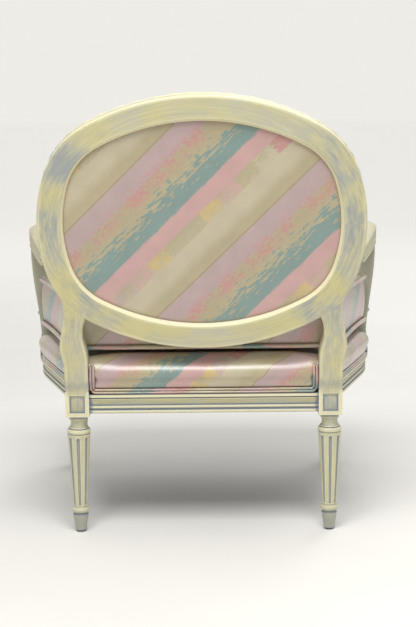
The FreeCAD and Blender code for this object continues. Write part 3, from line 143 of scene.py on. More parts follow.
class ChairSizes(PropertyGroup):
    """Sizes of the soft and carved work."""
    double_welt: length("Double welt", "Radius of each cord of the double welts", 2.7 * MM)
    cushion_welt: length("Cushion welt", "Radius of the cushion's cords", 4.3 * MM)
    stripe_repeat: length("Stripe repeat", "Width of one repeat of the stripes", 235 * MM)
    ribbon: length("Carved ribbon", "Radius of the carved ribbon on the oval's front edge", 4.6 * MM)
    ribbon_pitch: length("Ribbon pitch", "Length of one turn of the carved ribbon", 68 * MM)
    voxel: length("Voxel", "Mesh size of the stuffed pieces", 6 * MM)
    puff: length("Puff", "How far the stuffing may push the cloth", 7 * MM)


class ChairColours(PropertyGroup):
    """Colours of the paint and the cloth."""
    paint: colour("Paint", "Cream paint", "#CBC38F")
    paint_worn: colour("Rubbed paint", "Cream paint where it is rubbed thin", "#EBE5C2")
    glaze: colour("Glaze", "Blue-grey glaze left in hollows and brush marks", "#828C9A")
    tan: colour("Tan", "Ground of the stripes", "#BDAF88")
    cream: colour("Cream", "Pale stripe", "#CEC2A2")
    mauve: colour("Mauve", "Mauve stripe", "#C3A8A5")
    pink: colour("Pink", "Pink stripe", "#D3A7A1")
    rose: colour("Rose", "Rose speckle", "#D08488")
    teal: colour("Teal", "Teal brushwork", "#7F9B94")
    gold: colour("Gold", "Gold patches", "#DDBE74")
    line: colour("Line", "Thin brown line", "#97785E")
    floor: colour("Floor", "Studio floor", "#F7F5F0")


def sizes():
    return bpy.context.scene.chair_sizes


def colours():
    return bpy.context.scene.chair_colours


def rgba(colour_value):
    return (*colour_value, 1.0)


# Materials

# Settings that many nodes share
TIMES, PLUS, MINUS, OVER = ({"operation": name} for name in ("MULTIPLY", "ADD", "SUBTRACT", "DIVIDE"))
TIMES_PLUS, MOST, SIZE = ({"operation": name} for name in ("MULTIPLY_ADD", "MAXIMUM", "ABSOLUTE"))
ABOVE, BELOW = ({"operation": name} for name in ("GREATER_THAN", "LESS_THAN"))
EASED = {"interpolation_type": "SMOOTHSTEP"}
BLEND = {"data_type": "RGBA"}


def new_material(name):
    material = bpy.data.materials.new(name)
    material.use_nodes = True
    tree = material.node_tree
    return material, tree, tree.nodes["Principled BSDF"]


def feed(tree, node, inputs):
    """Sets or links a node's inputs, each from a value, a socket, or a node by its first shown output."""
    for key, value in inputs.items():
        if isinstance(value, bpy.types.Node):
            value = next(output for output in value.outputs if output.enabled)
        if isinstance(value, bpy.types.NodeSocket):
            tree.links.new(value, node.inputs[key])
        else:
            node.inputs[key].default_value = value


def add(tree, kind, *values, inputs=None, stops=(), hard=False, **settings):
    """Adds a node with its settings and links.

    Values go in order to the inputs that the node shows, and inputs gives others by name. Stops are the
    places and colours of a colour ramp, which jumps from one to the next where it is hard.
    """
    node = tree.nodes.new("ShaderNode" + kind)
    for name, value in settings.items():
        setattr(node, name, value)
    if stops:
        node.color_ramp.interpolation = "CONSTANT" if hard else "LINEAR"
        elements = node.color_ramp.elements
        while len(elements) < len(stops):
            elements.new(0.5)
        for element, (place, colour_value) in zip(elements, stops):
            element.position = place
            element.color = rgba(colour_value)
    shown = [number for number, socket in enumerate(node.inputs) if socket.enabled]
    feed(tree, node, dict(zip(shown, values)) | (inputs or {}))
    return node


def band(tree, value, low, high, soft=0.006):
    """One inside a span of a value and zero outside it, eased by soft on both sides of each end."""
    rise = add(tree, "MapRange", value, low - soft, low + soft, **EASED)
    fall = add(tree, "MapRange", value, high + soft, high - soft, **EASED)
    return add(tree, "Math", rise, fall, **TIMES)


def around_oval(tree, place):
    """Places round the oval back: the run round its middle, the distance from it, and the depth."""
    x, y, z = place
    up = add(tree, "Math", z, OVAL_MIDDLE_Z, **MINUS)
    up = add(tree, "Math", up, OVAL_HALF_WIDTH / OVAL_HALF_HEIGHT, **TIMES)
    turn = add(tree, "Math", up, x, operation="ARCTAN2")
    run = add(tree, "Math", turn, RING_MEAN_RADIUS, **TIMES)
    reach = add(tree, "VectorMath", add(tree, "CombineXYZ", x, up), operation="LENGTH")
    return add(tree, "CombineXYZ", run, reach, y)


def bevel(tree, place):
    """One on the slope from the oval's rear face down to the cloth, found by its depth below that face; the
    paint uses it for a painted highlight.
    """
    _, y, z = place
    above = add(tree, "Math", z, BLOCK_TOP, **MINUS)
    behind = add(tree, "Math", y, -math.cos(RECLINE), BACK_FACE_Y * math.cos(RECLINE), **TIMES_PLUS)
    depth = add(tree, "Math", above, math.sin(RECLINE), behind, **TIMES_PLUS)
    bevel_highlight = band(tree, depth, 1.2 * MM, RING_RECESS, 0.6 * MM)
    return add(tree, "Math", bevel_highlight, add(tree, "Math", above, BEVEL_LOW, **ABOVE), **TIMES)


def block_panels(tree, place):
    """One on the sunk panels of the leg blocks, found by their places, and zero elsewhere."""
    x, y, z = place
    beside = add(tree, "Math", x, **SIZE)
    found = 0.0
    for middle in BLOCK_MIDDLES:
        gaps = [add(tree, "Math", add(tree, "Math", here, there, **MINUS), **SIZE)
                for here, there in zip((beside, y), middle)]
        near_x, near_y = (add(tree, "MapRange", gap, PANEL_HALF + MM, PANEL_HALF - MM, **EASED)
                          for gap in gaps)
        in_x, in_y = (add(tree, "Math", gap, BLOCK_HALF, **BELOW) for gap in gaps)
        panel = add(tree, "Math", near_x, near_y, **MOST)
        panel = add(tree, "Math", panel, add(tree, "Math", in_x, in_y, **TIMES), **TIMES)
        found = add(tree, "Math", panel, found, **MOST)
    return add(tree, "Math", found, band(tree, z, *PANEL_SPAN, 1.5 * MM), **TIMES)


def patches_near(tree, place, middles):
    """Fades from one to zero round places of the oval and their mirrors, as x and height from its middle."""
    x, _, z = place
    flat = add(tree, "CombineXYZ", add(tree, "Math", x, **SIZE), z)
    found = 0.0
    for beside, above in middles:
        away = add(tree, "VectorMath", flat, (beside, OVAL_MIDDLE_Z + above, 0), operation="DISTANCE")
        near = add(tree, "MapRange", away, HAZE_REACH, HAZE_CORE, **EASED)
        found = add(tree, "Math", near, found, **MOST)
    return found


def brushed_place(tree, at, place, grain):
    """The place, drawn out along the grain, so that noise in it lies in brush marks.

    The oval's pieces are brushed round the oval, and so is a stile above its foot.
    """
    level = (MARKS_ALONG, MARKS_ACROSS, MARKS_ACROSS)
    upright = (MARKS_ACROSS, MARKS_ACROSS, MARKS_ALONG)
    scales = {"y": (MARKS_ACROSS, MARKS_ALONG, MARKS_ACROSS), "z": upright, "stile": upright, "post": upright}
    straight = add(tree, "Mapping", at, inputs={"Scale": scales.get(grain, level)})
    if grain not in CURVED_GRAINS:
        return straight
    around = add(tree, "Mapping", around_oval(tree, place), inputs={"Scale": level})
    above = add(tree, "Math", place[2], BLOCK_TOP + STILE_FOOT, **ABOVE)
    share = 1.0 if grain == "ring" else above
    return add(tree, "Mix", share, straight, around, data_type="VECTOR")


def rubbed_paint(grain):
    """Cream paint with a blue-grey glaze that was brushed on along the grain and rubbed off the high places.

    The glaze stays in hollows, found by near occlusion, as a soft haze on the flats, thickest at the glued
    joints, and in thin brush lines. Corners, found by occlusion inside the wood, are rubbed pale. The oval's
    rear bevel is painted pale and kept clear of glaze as a painted highlight, and the arm posts' rear faces
    get the glaze colour, partly as painted shade.
    """
    material, tree, shader = new_material("rubbed_cream_paint_" + grain)
    tint = colours()
    at = add(tree, "TexCoord").outputs["Object"]
    place = add(tree, "SeparateXYZ", at).outputs
    height = place[2]
    brushed = brushed_place(tree, at, place, grain)
    streaks = add(tree, "TexNoise", brushed, 1.0, 4.0, 0.65)
    patches = add(tree, "TexNoise", at, 14.0, 3.0, 0.55)
    flecks = add(tree, "TexNoise", brushed, 2.6, 2.0, 0.5)
    smoke = add(tree, "Math", streaks, 0.5, add(tree, "Math", patches, 0.7, **TIMES), **TIMES_PLUS)
    smoke = add(tree, "MapRange", smoke, 0.44, 0.76, **EASED)

    # How open each place is, close by, further off, and inside the wood
    reach = add(tree, "Math", add(tree, "Math", height, BLOCK_TOP, **BELOW), LEG_HOLLOW_MORE, HOLLOW_REACH,
                **TIMES_PLUS)
    close, far, within = (
        add(tree, "AmbientOcclusion", inputs={"Distance": distance}, samples=8, inside=inside).outputs["AO"]
        for distance, inside in ((reach, False), (NEARBY_REACH, False), (CORNER_REACH, True)))
    hollow = add(tree, "MapRange", close, 0.97, 0.74, **EASED)
    nearby = add(tree, "MapRange", far, 0.95, 0.45, **EASED)
    corner = add(tree, "MapRange", within, 0.97, 0.68, **EASED)

    # The glaze is the most of what stayed in each kind of place
    foot = band(tree, height, BLOCK_TOP + 1 * MM, BLOCK_TOP + 22 * MM, 14 * MM)
    thick = GLAZE["flats"]
    if grain in CURVED_GRAINS:
        joint = patches_near(tree, place, OVAL_JOINTS)
        hazy = patches_near(tree, place, HAZY_PLACES)
        thick = add(tree, "Math", hazy, GLAZE["joints"], thick, **TIMES_PLUS)
        corner = add(tree, "Math", corner, add(tree, "Math", 1.0, joint, **MINUS), **TIMES)
        # The oval's rear bevel is painted rubbed-pale, a painted highlight
        bevel_highlight = bevel(tree, place)
        corner = add(tree, "Math", corner, bevel_highlight, **MOST)
    haze = add(tree, "Math", smoke, thick, **TIMES)
    haze = add(tree, "Math", haze, add(tree, "Math", corner, -0.85, 1.0, **TIMES_PLUS), **TIMES)
    lines = add(tree, "MapRange", flecks, 0.62, 0.74, **EASED)
    wash = add(tree, "Math", add(tree, "Math", nearby, foot, **MOST),
               add(tree, "MapRange", streaks, 0.3, 0.6, **EASED), **TIMES)
    feet = add(tree, "MapRange", height, *FEET_SPAN, **EASED)
    panels = add(tree, "Math", block_panels(tree, place),
                 add(tree, "Math", smoke, GLAZE["panels"], 0.15, **TIMES_PLUS), **TIMES)
    mask = add(tree, "Math", haze, panels, **MOST)
    shares = {"hollows": hollow, "lines": lines, "nearby": wash, "stile_foot": foot, "feet": feet}
    for name, share in shares.items():
        mask = add(tree, "Math", mask, add(tree, "Math", share, GLAZE[name], **TIMES), **MOST)
    if grain in CURVED_GRAINS:
        # The bevel is kept nearly clear of glaze, for the same painted highlight
        mask = add(tree, "Math", mask, add(tree, "Math", bevel_highlight, -0.8, 1.0, **TIMES_PLUS), **TIMES)
    # Painted shade, partly glaze: faces of the arm posts turned to the rear get the glaze colour
    if grain == "post":
        facing = add(tree, "SeparateXYZ", add(tree, "NewGeometry").outputs["Normal"]).outputs[1]
        rear = add(tree, "Math", add(tree, "MapRange", facing, 0.2, 0.8, **EASED), GLAZE["posts"], **TIMES)
        mask = add(tree, "Math", mask, rear, **MOST)

    worn = add(tree, "Math", add(tree, "MapRange", patches, 0.35, 0.7, **EASED), RUBBED_FLATS, **TIMES)
    worn = add(tree, "Math", worn, add(tree, "Math", corner, RUBBED_CORNERS, **TIMES), **MOST)
    cream = add(tree, "Mix", worn, rgba(tint.paint), rgba(tint.paint_worn), **BLEND)
    bump = add(tree, "Bump", inputs={"Strength": 0.12, "Distance": 0.6 * MM, "Height": streaks})
    feed(tree, shader, {
        "Base Color": add(tree, "Mix", mask, cream, rgba(tint.glaze), **BLEND),
        "Roughness": 0.46, "IOR": 1.48, "Normal": bump,
    })
    return material


def striped_satin():
    """Printed cotton satin with broad painterly diagonal stripes; its glazed finish gives soft highlights.

    The cloth's own map is in metres. Stripes cross it at 45 degrees, their edges dragged about by noise.
    Creases and places close to other parts are darkened, partly soil and partly painted shade.
    """
    material, tree, shader = new_material("striped_cotton_satin")
    tint = colours()
    repeat = sizes().stripe_repeat
    cloth = add(tree, "UVMap", uv_map="cloth")
    turn = add(tree, "Mapping", cloth, inputs={"Rotation": (0, 0, math.radians(45))})
    across, along, _ = add(tree, "SeparateXYZ", turn).outputs

    # Noise cells per metre, across and along the stripes: marks of 11 by 45 mm, 5 by 24 mm and 5 by 8 mm
    drag, ragged, speckle = (
        add(tree, "TexNoise", add(tree, "Mapping", turn, inputs={"Scale": cells}), 1.0, detail, 0.6)
        for cells, detail in (((90, 22, 1), 3.0), ((210, 42, 1), 4.0), ((190, 120, 1), 3.0)))
    clouds = add(tree, "TexNoise", turn, 22.0, 3.0, 0.55)
    shift = add(tree, "Math", add(tree, "Math", drag, 0.5, **MINUS), 5 * MM, **TIMES)
    phase, straight = (
        add(tree, "Math", add(tree, "Math", place, repeat, **OVER), operation="FRACT")
        for place in (add(tree, "Math", across, shift, **PLUS), across))
    blots = add(tree, "Math", clouds, 0.6, add(tree, "Math", speckle, 0.55, **TIMES), **TIMES_PLUS)

    # The stripes, as shares of the repeat
    ground = add(tree, "ValToRGB", phase, stops=[
        (0.0, tint.mauve), (0.13, tint.mauve), (0.18, tint.tan), (0.475, tint.tan), (0.485, tint.pink),
        (0.615, tint.pink), (0.63, tint.tan), (0.735, tint.cream), (0.84, tint.cream), (0.92, tint.tan),
        (0.995, tint.tan), (1.0, tint.mauve)])
    speckled = add(tree, "MapRange", blots, 0.5, 0.68, **EASED)
    rose = add(tree, "Math", band(tree, phase, 0.13, 0.245, 0.05), speckled, **TIMES)

    # The teal brushwork grows denser across its stripe
    dense = add(tree, "Math", ragged, add(tree, "Math", clouds, 0.3, **TIMES), **PLUS)
    dense = add(tree, "Math", dense, add(tree, "Math", phase, 1.5, -0.57, **TIMES_PLUS), **PLUS)
    torn = band(tree, add(tree, "Math", ragged, 0.03, phase, **TIMES_PLUS), 0.25, 0.505, 0.008)
    teal = add(tree, "Math", torn, add(tree, "MapRange", dense, 0.56, 0.62, **EASED), **TIMES)

    # A row of patches, each about 46 mm long, with wandering ends
    wander = add(tree, "Math", speckle, 26 * MM, along, **TIMES_PLUS)
    number = add(tree, "Math", add(tree, "Math", wander, 46 * MM, **OVER), operation="FLOOR")
    dice = add(tree, "TexWhiteNoise", number, noise_dimensions="1D")
    patch = add(tree, "ValToRGB", dice, hard=True, stops=[
        (0.0, tint.tan), (0.16, tint.gold), (0.36, tint.mauve), (0.52, tint.pink), (0.68, tint.rose),
        (0.84, tint.cream)])
    mottled = add(tree, "MapRange", blots, 0.42, 0.62, **EASED)
    patched = add(tree, "Math", band(tree, phase, 0.622, 0.735), mottled, **TIMES)
    drawn = add(tree, "Math", band(tree, straight, 0.985, 0.992, 0.003), 0.75, **TIMES)

    cover = add(tree, "Mix", add(tree, "Math", rose, 0.8, **TIMES), ground, rgba(tint.rose), **BLEND)
    cover = add(tree, "Mix", teal, cover, rgba(tint.teal), **BLEND)
    cover = add(tree, "Mix", add(tree, "Math", patched, 0.75, **TIMES), cover, patch, **BLEND)
    cover = add(tree, "Mix", drawn, cover, rgba(tint.line), **BLEND)
    wear = add(tree, "Math", clouds, 0.24, 0.7, **TIMES_PLUS)
    wear = add(tree, "CombineColor", wear, wear, wear)
    cover = add(tree, "Mix", 1.0, cover, wear, blend_type="MULTIPLY", **BLEND)
    # Painted shade and soil: the cover is darkened towards the line colour where near occlusion finds creases
    # and close parts
    shut_in = add(tree, "AmbientOcclusion", inputs={"Distance": 14 * MM}, samples=8).outputs["AO"]
    soil_and_shade = add(tree, "Math", add(tree, "MapRange", shut_in, 0.9, 0.45, **EASED), 0.4, **TIMES)
    cover = add(tree, "Mix", soil_and_shade, cover, rgba(tint.line), **BLEND)

    # The thread is about 0.5 mm; it is drawn at 1.6 mm so that it shows
    weave = crossed_threads(tree, cloth, 1.6 * MM)
    feed(tree, shader, {
        "Base Color": cover, "Roughness": 0.36, "Coat Weight": 0.9, "Coat IOR": 1.7, "Coat Roughness": 0.27,
        "Sheen Weight": 0.12, "Sheen Roughness": 0.4,
        "Normal": add(tree, "Bump", inputs={"Strength": 0.1, "Distance": 0.25 * MM, "Height": weave}),
    })
    return material


def crossed_threads(tree, place, thread):
    """Warp and weft over a place's x and y: sin(2 pi x / thread) * sin(2 pi y / thread)."""
    turns = 2 * math.pi / thread
    warp, weft = (add(tree, "Math", add(tree, "Math", run, turns, **TIMES), operation="SINE")
                  for run in add(tree, "SeparateXYZ", place).outputs[:2])
    return add(tree, "Math", warp, weft, **TIMES)


def woven(name, code, dark, thread):
    """Plain-woven cloth or webbing: two crossed sets of threads with uneven yarn, dull all over."""
    material, tree, shader = new_material(name)
    at = add(tree, "TexCoord").outputs["Object"]
    weave = add(tree, "Math", crossed_threads(tree, at, thread), 0.5, 0.5, **TIMES_PLUS)
    yarn = add(tree, "TexNoise", at, 90.0, 3.0, 0.5)
    tone = add(tree, "Math", add(tree, "Math", weave, yarn, **PLUS), 0.5, **TIMES)
    feed(tree, shader, {
        "Base Color": add(tree, "ValToRGB", tone, stops=[(0.2, linear(dark)), (0.75, linear(code))]),
        "Roughness": 0.9,
        "Normal": add(tree, "Bump", inputs={"Strength": 0.4, "Distance": 0.5 * MM, "Height": weave}),
    })
    return material


def bare_beech():
    """Unfinished beech: pale, fine-grained, with short darker flecks."""
    material, tree, shader = new_material("bare_beech")
    at = add(tree, "TexCoord").outputs["Object"]
    grained = add(tree, "Mapping", at, inputs={"Scale": (12, 160, 160)})
    grain = add(tree, "TexNoise", grained, 1.0, 5.0, 0.6)
    tone = add(tree, "ValToRGB", grain, stops=[(0.3, linear("#A67C52")), (0.7, linear("#CBA374"))])
    feed(tree, shader, {"Base Color": tone, "Roughness": 0.65})
    return material


def moulded_glide():
    """Dark moulded plastic with a fine spark-eroded grain."""
    material, tree, shader = new_material("moulded_plastic_glide")
    at = add(tree, "TexCoord").outputs["Object"]
    grain = add(tree, "TexNoise", at, 900.0, 2.0, 0.5)
    tone = add(tree, "ValToRGB", grain, stops=[(0.3, linear("#17171A")), (0.7, linear("#28282B"))])
    feed(tree, shader, {"Base Color": tone, "Roughness": 0.55})
    return material


# Shapes


def oval(angle, inset=0.0):
    """The oval's point whose outward direction has an angle; a quarter is a side, a corner and a top arc."""
    side_x = OVAL_HALF_WIDTH - OVAL_SIDE_RADIUS
    top_y = OVAL_HALF_HEIGHT - OVAL_TOP_RADIUS
    near, far = OVAL_SIDE_RADIUS - OVAL_CORNER_RADIUS, OVAL_TOP_RADIUS - OVAL_CORNER_RADIUS
    gap = math.hypot(side_x, top_y)
    along = (near ** 2 - far ** 2 + gap ** 2) / (2 * gap)
    across = math.sqrt(near ** 2 - along ** 2)
    step = -side_x / gap, top_y / gap
    corner = side_x + along * step[0] - across * step[1], along * step[1] + across * step[0]
    low = math.atan2(corner[1], corner[0] - side_x)
    high = math.atan2(corner[1] - top_y, corner[0])
    cosine, sine = np.cos(angle), np.sin(angle)
    folded = np.arctan2(np.abs(sine), np.abs(cosine))
    arcs = [folded < low, folded < high]
    center_x = np.select(arcs, [side_x, corner[0]], 0.0) * np.sign(cosine)
    center_y = np.select(arcs, [0.0, corner[1]], top_y) * np.sign(sine)
    radius = np.select(arcs, [OVAL_SIDE_RADIUS, OVAL_CORNER_RADIUS], OVAL_TOP_RADIUS) - inset
    return center_x + radius * cosine, center_y + radius * sine


def leaned(x, up, forward):
    """Points of the flat-drawn back, stood on the block tops and leaned back, as rows of x, y, z."""
    y = BACK_FACE_Y + up * math.sin(RECLINE) - forward * math.cos(RECLINE)
    z = BLOCK_TOP + up * math.cos(RECLINE) + forward * math.sin(RECLINE)
    return np.stack(np.broadcast_arrays(x, y, z), -1)


def seat_line(out):
    """The left half of the rail line, moved out: hollow arc, straight, side arc, corner and front bow."""
    def outward(angle):
        return np.array([np.cos(angle), np.sin(angle)]).T

    start = np.array([SEAT_REAR_HALF_WIDTH, -BLOCK_DEPTH])
    hollow = start + HOLLOW_RADIUS * outward(FLARE_AT_BLOCK)
    first = hollow - HOLLOW_RADIUS * outward(FLARE_AT_SIDE)
    ahead = np.array([math.sin(FLARE_AT_SIDE), -math.cos(FLARE_AT_SIDE)])
    side = first + SIDE_RUN * ahead - SIDE_RADIUS * outward(FLARE_AT_SIDE)
    corner = side + np.array([SIDE_RADIUS - CORNER_RADIUS, 0])
    last = corner + CORNER_RADIUS * outward(-CORNER_TURN)
    bow_radius = last[0] / math.cos(CORNER_TURN)
    bow = np.array([0, last[1] + bow_radius * math.sin(CORNER_TURN)])
    runs = [
        hollow - (HOLLOW_RADIUS - out) * outward(np.linspace(FLARE_AT_BLOCK, FLARE_AT_SIDE, 12)),
        side + (SIDE_RADIUS + out) * outward(np.linspace(FLARE_AT_SIDE, 0, 20)),
        corner + (CORNER_RADIUS + out) * outward(np.linspace(0, -CORNER_TURN, 24)),
        bow + (bow_radius + out) * outward(np.linspace(-CORNER_TURN, -math.pi / 2, 30)),
    ]
    line = np.concatenate(runs)
    return line + [0, BACK_FACE_Y]


def run_along(path):
    """The run from the start of a polyline to each of its points."""
    return np.concatenate([[0], np.cumsum(np.linalg.norm(np.diff(path, axis=0), axis=1))])


def area_of(rim):
    """The area inside a closed level line, below zero where it runs clockwise."""
    x, y = rim.T
    return 0.5 * np.sum(x * np.roll(y, -1) - np.roll(x, -1) * y)


def resampled(path, spacing, closed=False):
    """A polyline with points at an even spacing along it."""
    points = np.vstack([path, path[:1]]) if closed else np.asarray(path)
    run = run_along(points)
    count = max(4, int(round(run[-1] / spacing)))
    at = np.linspace(0, run[-1], count, endpoint=not closed)
    return np.stack([np.interp(at, run, points[:, i]) for i in range(points.shape[1])], -1)


def rounded(path, reach):
    """The closed polyline with each point averaged with its neighbours up to reach points away."""
    pad = np.pad(path, ((reach, reach), (0, 0)), "wrap")
    kernel = np.hanning(2 * reach + 3)[1:-1]
    kernel /= kernel.sum()
    return np.stack([np.convolve(pad[:, i], kernel, "valid") for i in range(path.shape[1])], -1)


def grid_faces(rows, columns, closed=False):
    """Quads between rings of points; the last ring joins the first where they are closed."""
    a, b = np.meshgrid(np.arange(rows if closed else rows - 1), np.arange(columns), indexing="ij")
    a2, b2 = (a + 1) % rows, (b + 1) % columns
    quads = [a * columns + b, a * columns + b2, a2 * columns + b2, a2 * columns + b]
    return np.stack(quads, -1).reshape(-1, 4)


def new_piece(name, points, faces, cloth=None):
    """A smooth mesh object; cloth gives each point its place on the flat cloth, in metres."""
    mesh = bpy.data.meshes.new(name)
    mesh.from_pydata(np.reshape(points, (-1, 3)).tolist(), [], faces)
    mesh.shade_smooth()
    piece = bpy.data.objects.new(name, mesh)
    bpy.context.scene.collection.objects.link(piece)
    if cloth is not None:
        lay_cloth(piece, np.reshape(cloth, (-1, 2))[corners_of(piece)])
    return piece


def across_path(path, closed):
    """Two unit directions square to a path at each point: sideways, level where it can be, and up."""
    if closed:
        ahead = np.roll(path, -1, 0) - np.roll(path, 1, 0)
    else:
        ahead = np.gradient(path, axis=0)
    ahead /= np.linalg.norm(ahead, axis=1, keepdims=True)
    up = np.where(np.abs(ahead[:, 2:]) > 0.8, [[0.0, 1.0, 0.0]], [[0.0, 0.0, 1.0]])
    side = np.cross(ahead, up)
    side /= np.linalg.norm(side, axis=1, keepdims=True)
    return side, np.cross(side, ahead)


def cord_along(name, path, radius, closed=False, sides=14, lobes=0.0, pitch=1.0):
    """A cord: a round profile carried along a path, with round ends; lobes make it a twisted ribbon.

    radius(angle, run) = radius * (1 + lobes * cos(2 * (angle - 2 pi run / pitch))).
    """
    run = run_along(path)
    side, up = across_path(path, closed)
    angle = np.linspace(0, 2 * np.pi, sides, endpoint=False)
    swell = 1 + lobes * np.cos(2 * (angle[None, :] - 2 * np.pi * run[:, None] / pitch))
    if not closed:
        from_end = np.minimum(run, run[-1] - run)
        swell = swell * np.sqrt(np.clip(1 - (1 - np.clip(from_end / radius, 0, 1)) ** 2, 0.02, 1))[:, None]
    ring = radius * swell
    points = path[:, None] + ring[..., None] * (np.cos(angle)[None, :, None] * side[:, None]
                                                + np.sin(angle)[None, :, None] * up[:, None])
    cloth = np.stack(np.broadcast_arrays(run[:, None], radius * angle[None, :]), -1)
    faces = grid_faces(len(path), sides, closed)[:, ::-1].tolist()
    if not closed:
        last = (len(path) - 1) * sides
        faces += [list(range(sides)), list(range(last + sides - 1, last - 1, -1))]
    return new_piece(name, points, faces, cloth)


def points_of(piece):
    points = np.zeros(len(piece.data.vertices) * 3, np.float32)
    piece.data.vertices.foreach_get("co", points)
    return points.reshape(-1, 3).astype(float)


def set_points(piece, points):
    piece.data.vertices.foreach_set("co", points.astype(np.float32).ravel())
    piece.data.update()


def triangles_of(nodes):
    """The points of some solids, each kept once, and the three point numbers of each triangle."""
    points, corners, start = [], [], 0
    for node in nodes:
        mesh = NODES[node].data
        mesh.calc_loop_triangles()
        numbers = np.zeros(len(mesh.loop_triangles) * 3, np.int32)
        mesh.loop_triangles.foreach_get("vertices", numbers)
        points.append(points_of(NODES[node]))
        corners.append(numbers.reshape(-1, 3) + start)
        start += len(mesh.vertices)
    keys, index = np.unique(np.round(np.concatenate(points), 5), axis=0, return_inverse=True)
    return keys, index.reshape(-1)[np.concatenate(corners)]


def rim_of(node, height):
    """The points of a solid's rim at one height, in order round the rim.

    The rim's edges lie at that height and bound one level triangle at most.
    """
    level_within = 0.05 * MM
    keys, corners = triangles_of([node])
    edges = np.concatenate([corners[:, [0, 1]], corners[:, [1, 2]], corners[:, [2, 0]]])
    flat = np.tile(np.abs(keys[corners][..., 2] - height).max(1) < level_within, 3)
    level = np.abs(keys[edges][..., 2] - height).max(1) < level_within
    pairs, place = np.unique(np.sort(edges[level], 1), axis=0, return_inverse=True)
    inner = np.bincount(place.reshape(-1), flat[level], len(pairs)) > 1
    neighbours = {}
    for a, b in pairs[~inner].tolist():
        if a != b:
            neighbours.setdefault(a, set()).add(b)
            neighbours.setdefault(b, set()).add(a)
    start = max(neighbours, key=lambda i: keys[i][1])
    chain, last = [start], None
    while True:
        ahead = [i for i in neighbours[chain[-1]] if i != last]
        last = chain[-1]
        if not ahead or ahead[0] == start or len(chain) > len(neighbours):
            break
        chain.append(ahead[0])
    rim = keys[chain][:, :2]
    return rim if area_of(rim) > 0 else rim[::-1]


def outward_from(rim, distance):
    """A closed level line moved outwards by a distance."""
    ahead = np.roll(rim, -1, 0) - np.roll(rim, 1, 0)
    ahead /= np.linalg.norm(ahead, axis=1, keepdims=True)
    return rim + distance * np.stack([ahead[:, 1], -ahead[:, 0]], -1)


# Stuffed pieces


def remeshed(name, nodes):
    """One closed skin round some solids, made of even quads."""
    points, corners = triangles_of(nodes)
    piece = new_piece(name, points, corners.tolist())
    piece.data.remesh_voxel_size = sizes().voxel
    bpy.context.view_layer.objects.active = piece
    piece.select_set(True)
    bpy.ops.object.voxel_remesh()
    piece.data.shade_smooth()
    return piece


def softened(piece, held, rounds):
    """Rounds a skin's edges off: each free point goes to the mean of its neighbours, some rounds over."""
    points = points_of(piece)
    ends = np.zeros(len(piece.data.edges) * 2, np.int32)
    piece.data.edges.foreach_get("vertices", ends)
    a, b = ends.reshape(-1, 2).T
    count = np.bincount(ends, minlength=len(points))[:, None]
    free = (~held)[:, None]
    for _ in range(rounds):
        total = [np.bincount(a, axis[b], len(points)) + np.bincount(b, axis[a], len(points))
                 for axis in points.T]
        points = np.where(free, np.stack(total, -1) / count, points)
    set_points(piece, points)
    return points


def stuffed(piece, held, reach):
    """Swells a piece as cloth under air pressure; held points stay, and the others move by reach at most."""
    rest = points_of(piece)
    seams = piece.vertex_groups.new(name="seams")
    seams.add(np.flatnonzero(held).tolist(), 1.0, "REPLACE")
    cloth = piece.modifiers.new("stuffing", "CLOTH")
    cloth.settings.vertex_group_mass = "seams"
    cloth.settings.use_pressure = True
    cloth.settings.uniform_pressure_force = STUFFING_PRESSURE
    cloth.settings.effector_weights.gravity = 0
    scene = bpy.context.scene
    for step in range(1, STUFFING_STEPS + 1):
        scene.frame_set(step)
    shaped = piece.evaluated_get(bpy.context.evaluated_depsgraph_get())
    after = np.zeros(len(rest) * 3, np.float32)
    shaped.data.vertices.foreach_get("co", after)
    move = after.reshape(-1, 3) - rest
    far = np.linalg.norm(move, axis=1, keepdims=True)
    move *= np.minimum(1, reach / np.maximum(far, 1e-9))
    piece.modifiers.remove(cloth)
    piece.vertex_groups.remove(seams)
    scene.frame_set(1)
    set_points(piece, rest + move)


def lay_cloth(piece, cloth):
    """Gives each corner of a mesh its place on the flat cloth, in metres."""
    layer = piece.data.uv_layers.new(name="cloth")
    layer.data.foreach_set("uv", np.asarray(cloth, np.float32).ravel())


def corners_of(piece):
    corner = np.zeros(len(piece.data.loops), np.int32)
    piece.data.loops.foreach_get("vertex_index", corner)
    return corner


def along_rim(points, rim):
    """For each point, the run round the rim to its nearest place there and the distance from it."""
    run = run_along(rim)
    gaps = [((part[:, None, :2] - rim[None]) ** 2).sum(-1) for part in np.array_split(points, 40)]
    nearest = np.concatenate([gap.argmin(1) for gap in gaps])
    return run[nearest], np.sqrt(np.concatenate([gap.min(1) for gap in gaps]))


def face_heights(piece):
    """The height of the middle of the face of each mesh corner."""
    mesh = piece.data
    centers = np.zeros(len(mesh.polygons) * 3, np.float32)
    mesh.polygons.foreach_get("center", centers)
    totals = np.zeros(len(mesh.polygons), np.int32)
    mesh.polygons.foreach_get("loop_total", totals)
    return np.repeat(centers.reshape(-1, 3)[:, 2], totals)


def smoothed(piece):
    smooth = piece.modifiers.new("smooth", "SUBSURF")
    smooth.levels = smooth.render_levels = 1


def settle(piece, body, slot, material, *nodes):
    """Gives a piece its material and its body, and hides the nodes that it stands for; slot is not used."""
    piece.data.materials.append(material)
    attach(piece, body)
    if nodes:
        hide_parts(*nodes)


def satin():
    return bpy.data.materials.get("striped_cotton_satin") or striped_satin()


def finish_nodes(finishes):
    """Gives each named node its material."""
    for node, finish in finishes.items():
        materials = NODES[node].data.materials
        materials.clear()
        materials.append(finish)


# Steps of the finish


class CHAIR_OT_paint(Operator):
    """Paints the wooden frame, along the grain of each piece"""
    bl_idname = "chair.paint"
    bl_label = "Paint the frame"

    def execute(self, context):
        paints = {grain: rubbed_paint(grain) for grain in sorted(set(WOOD_GRAIN.values()))}
        finish_nodes({node: paints[grain] for node, grain in WOOD_GRAIN.items()})
        return {"FINISHED"}


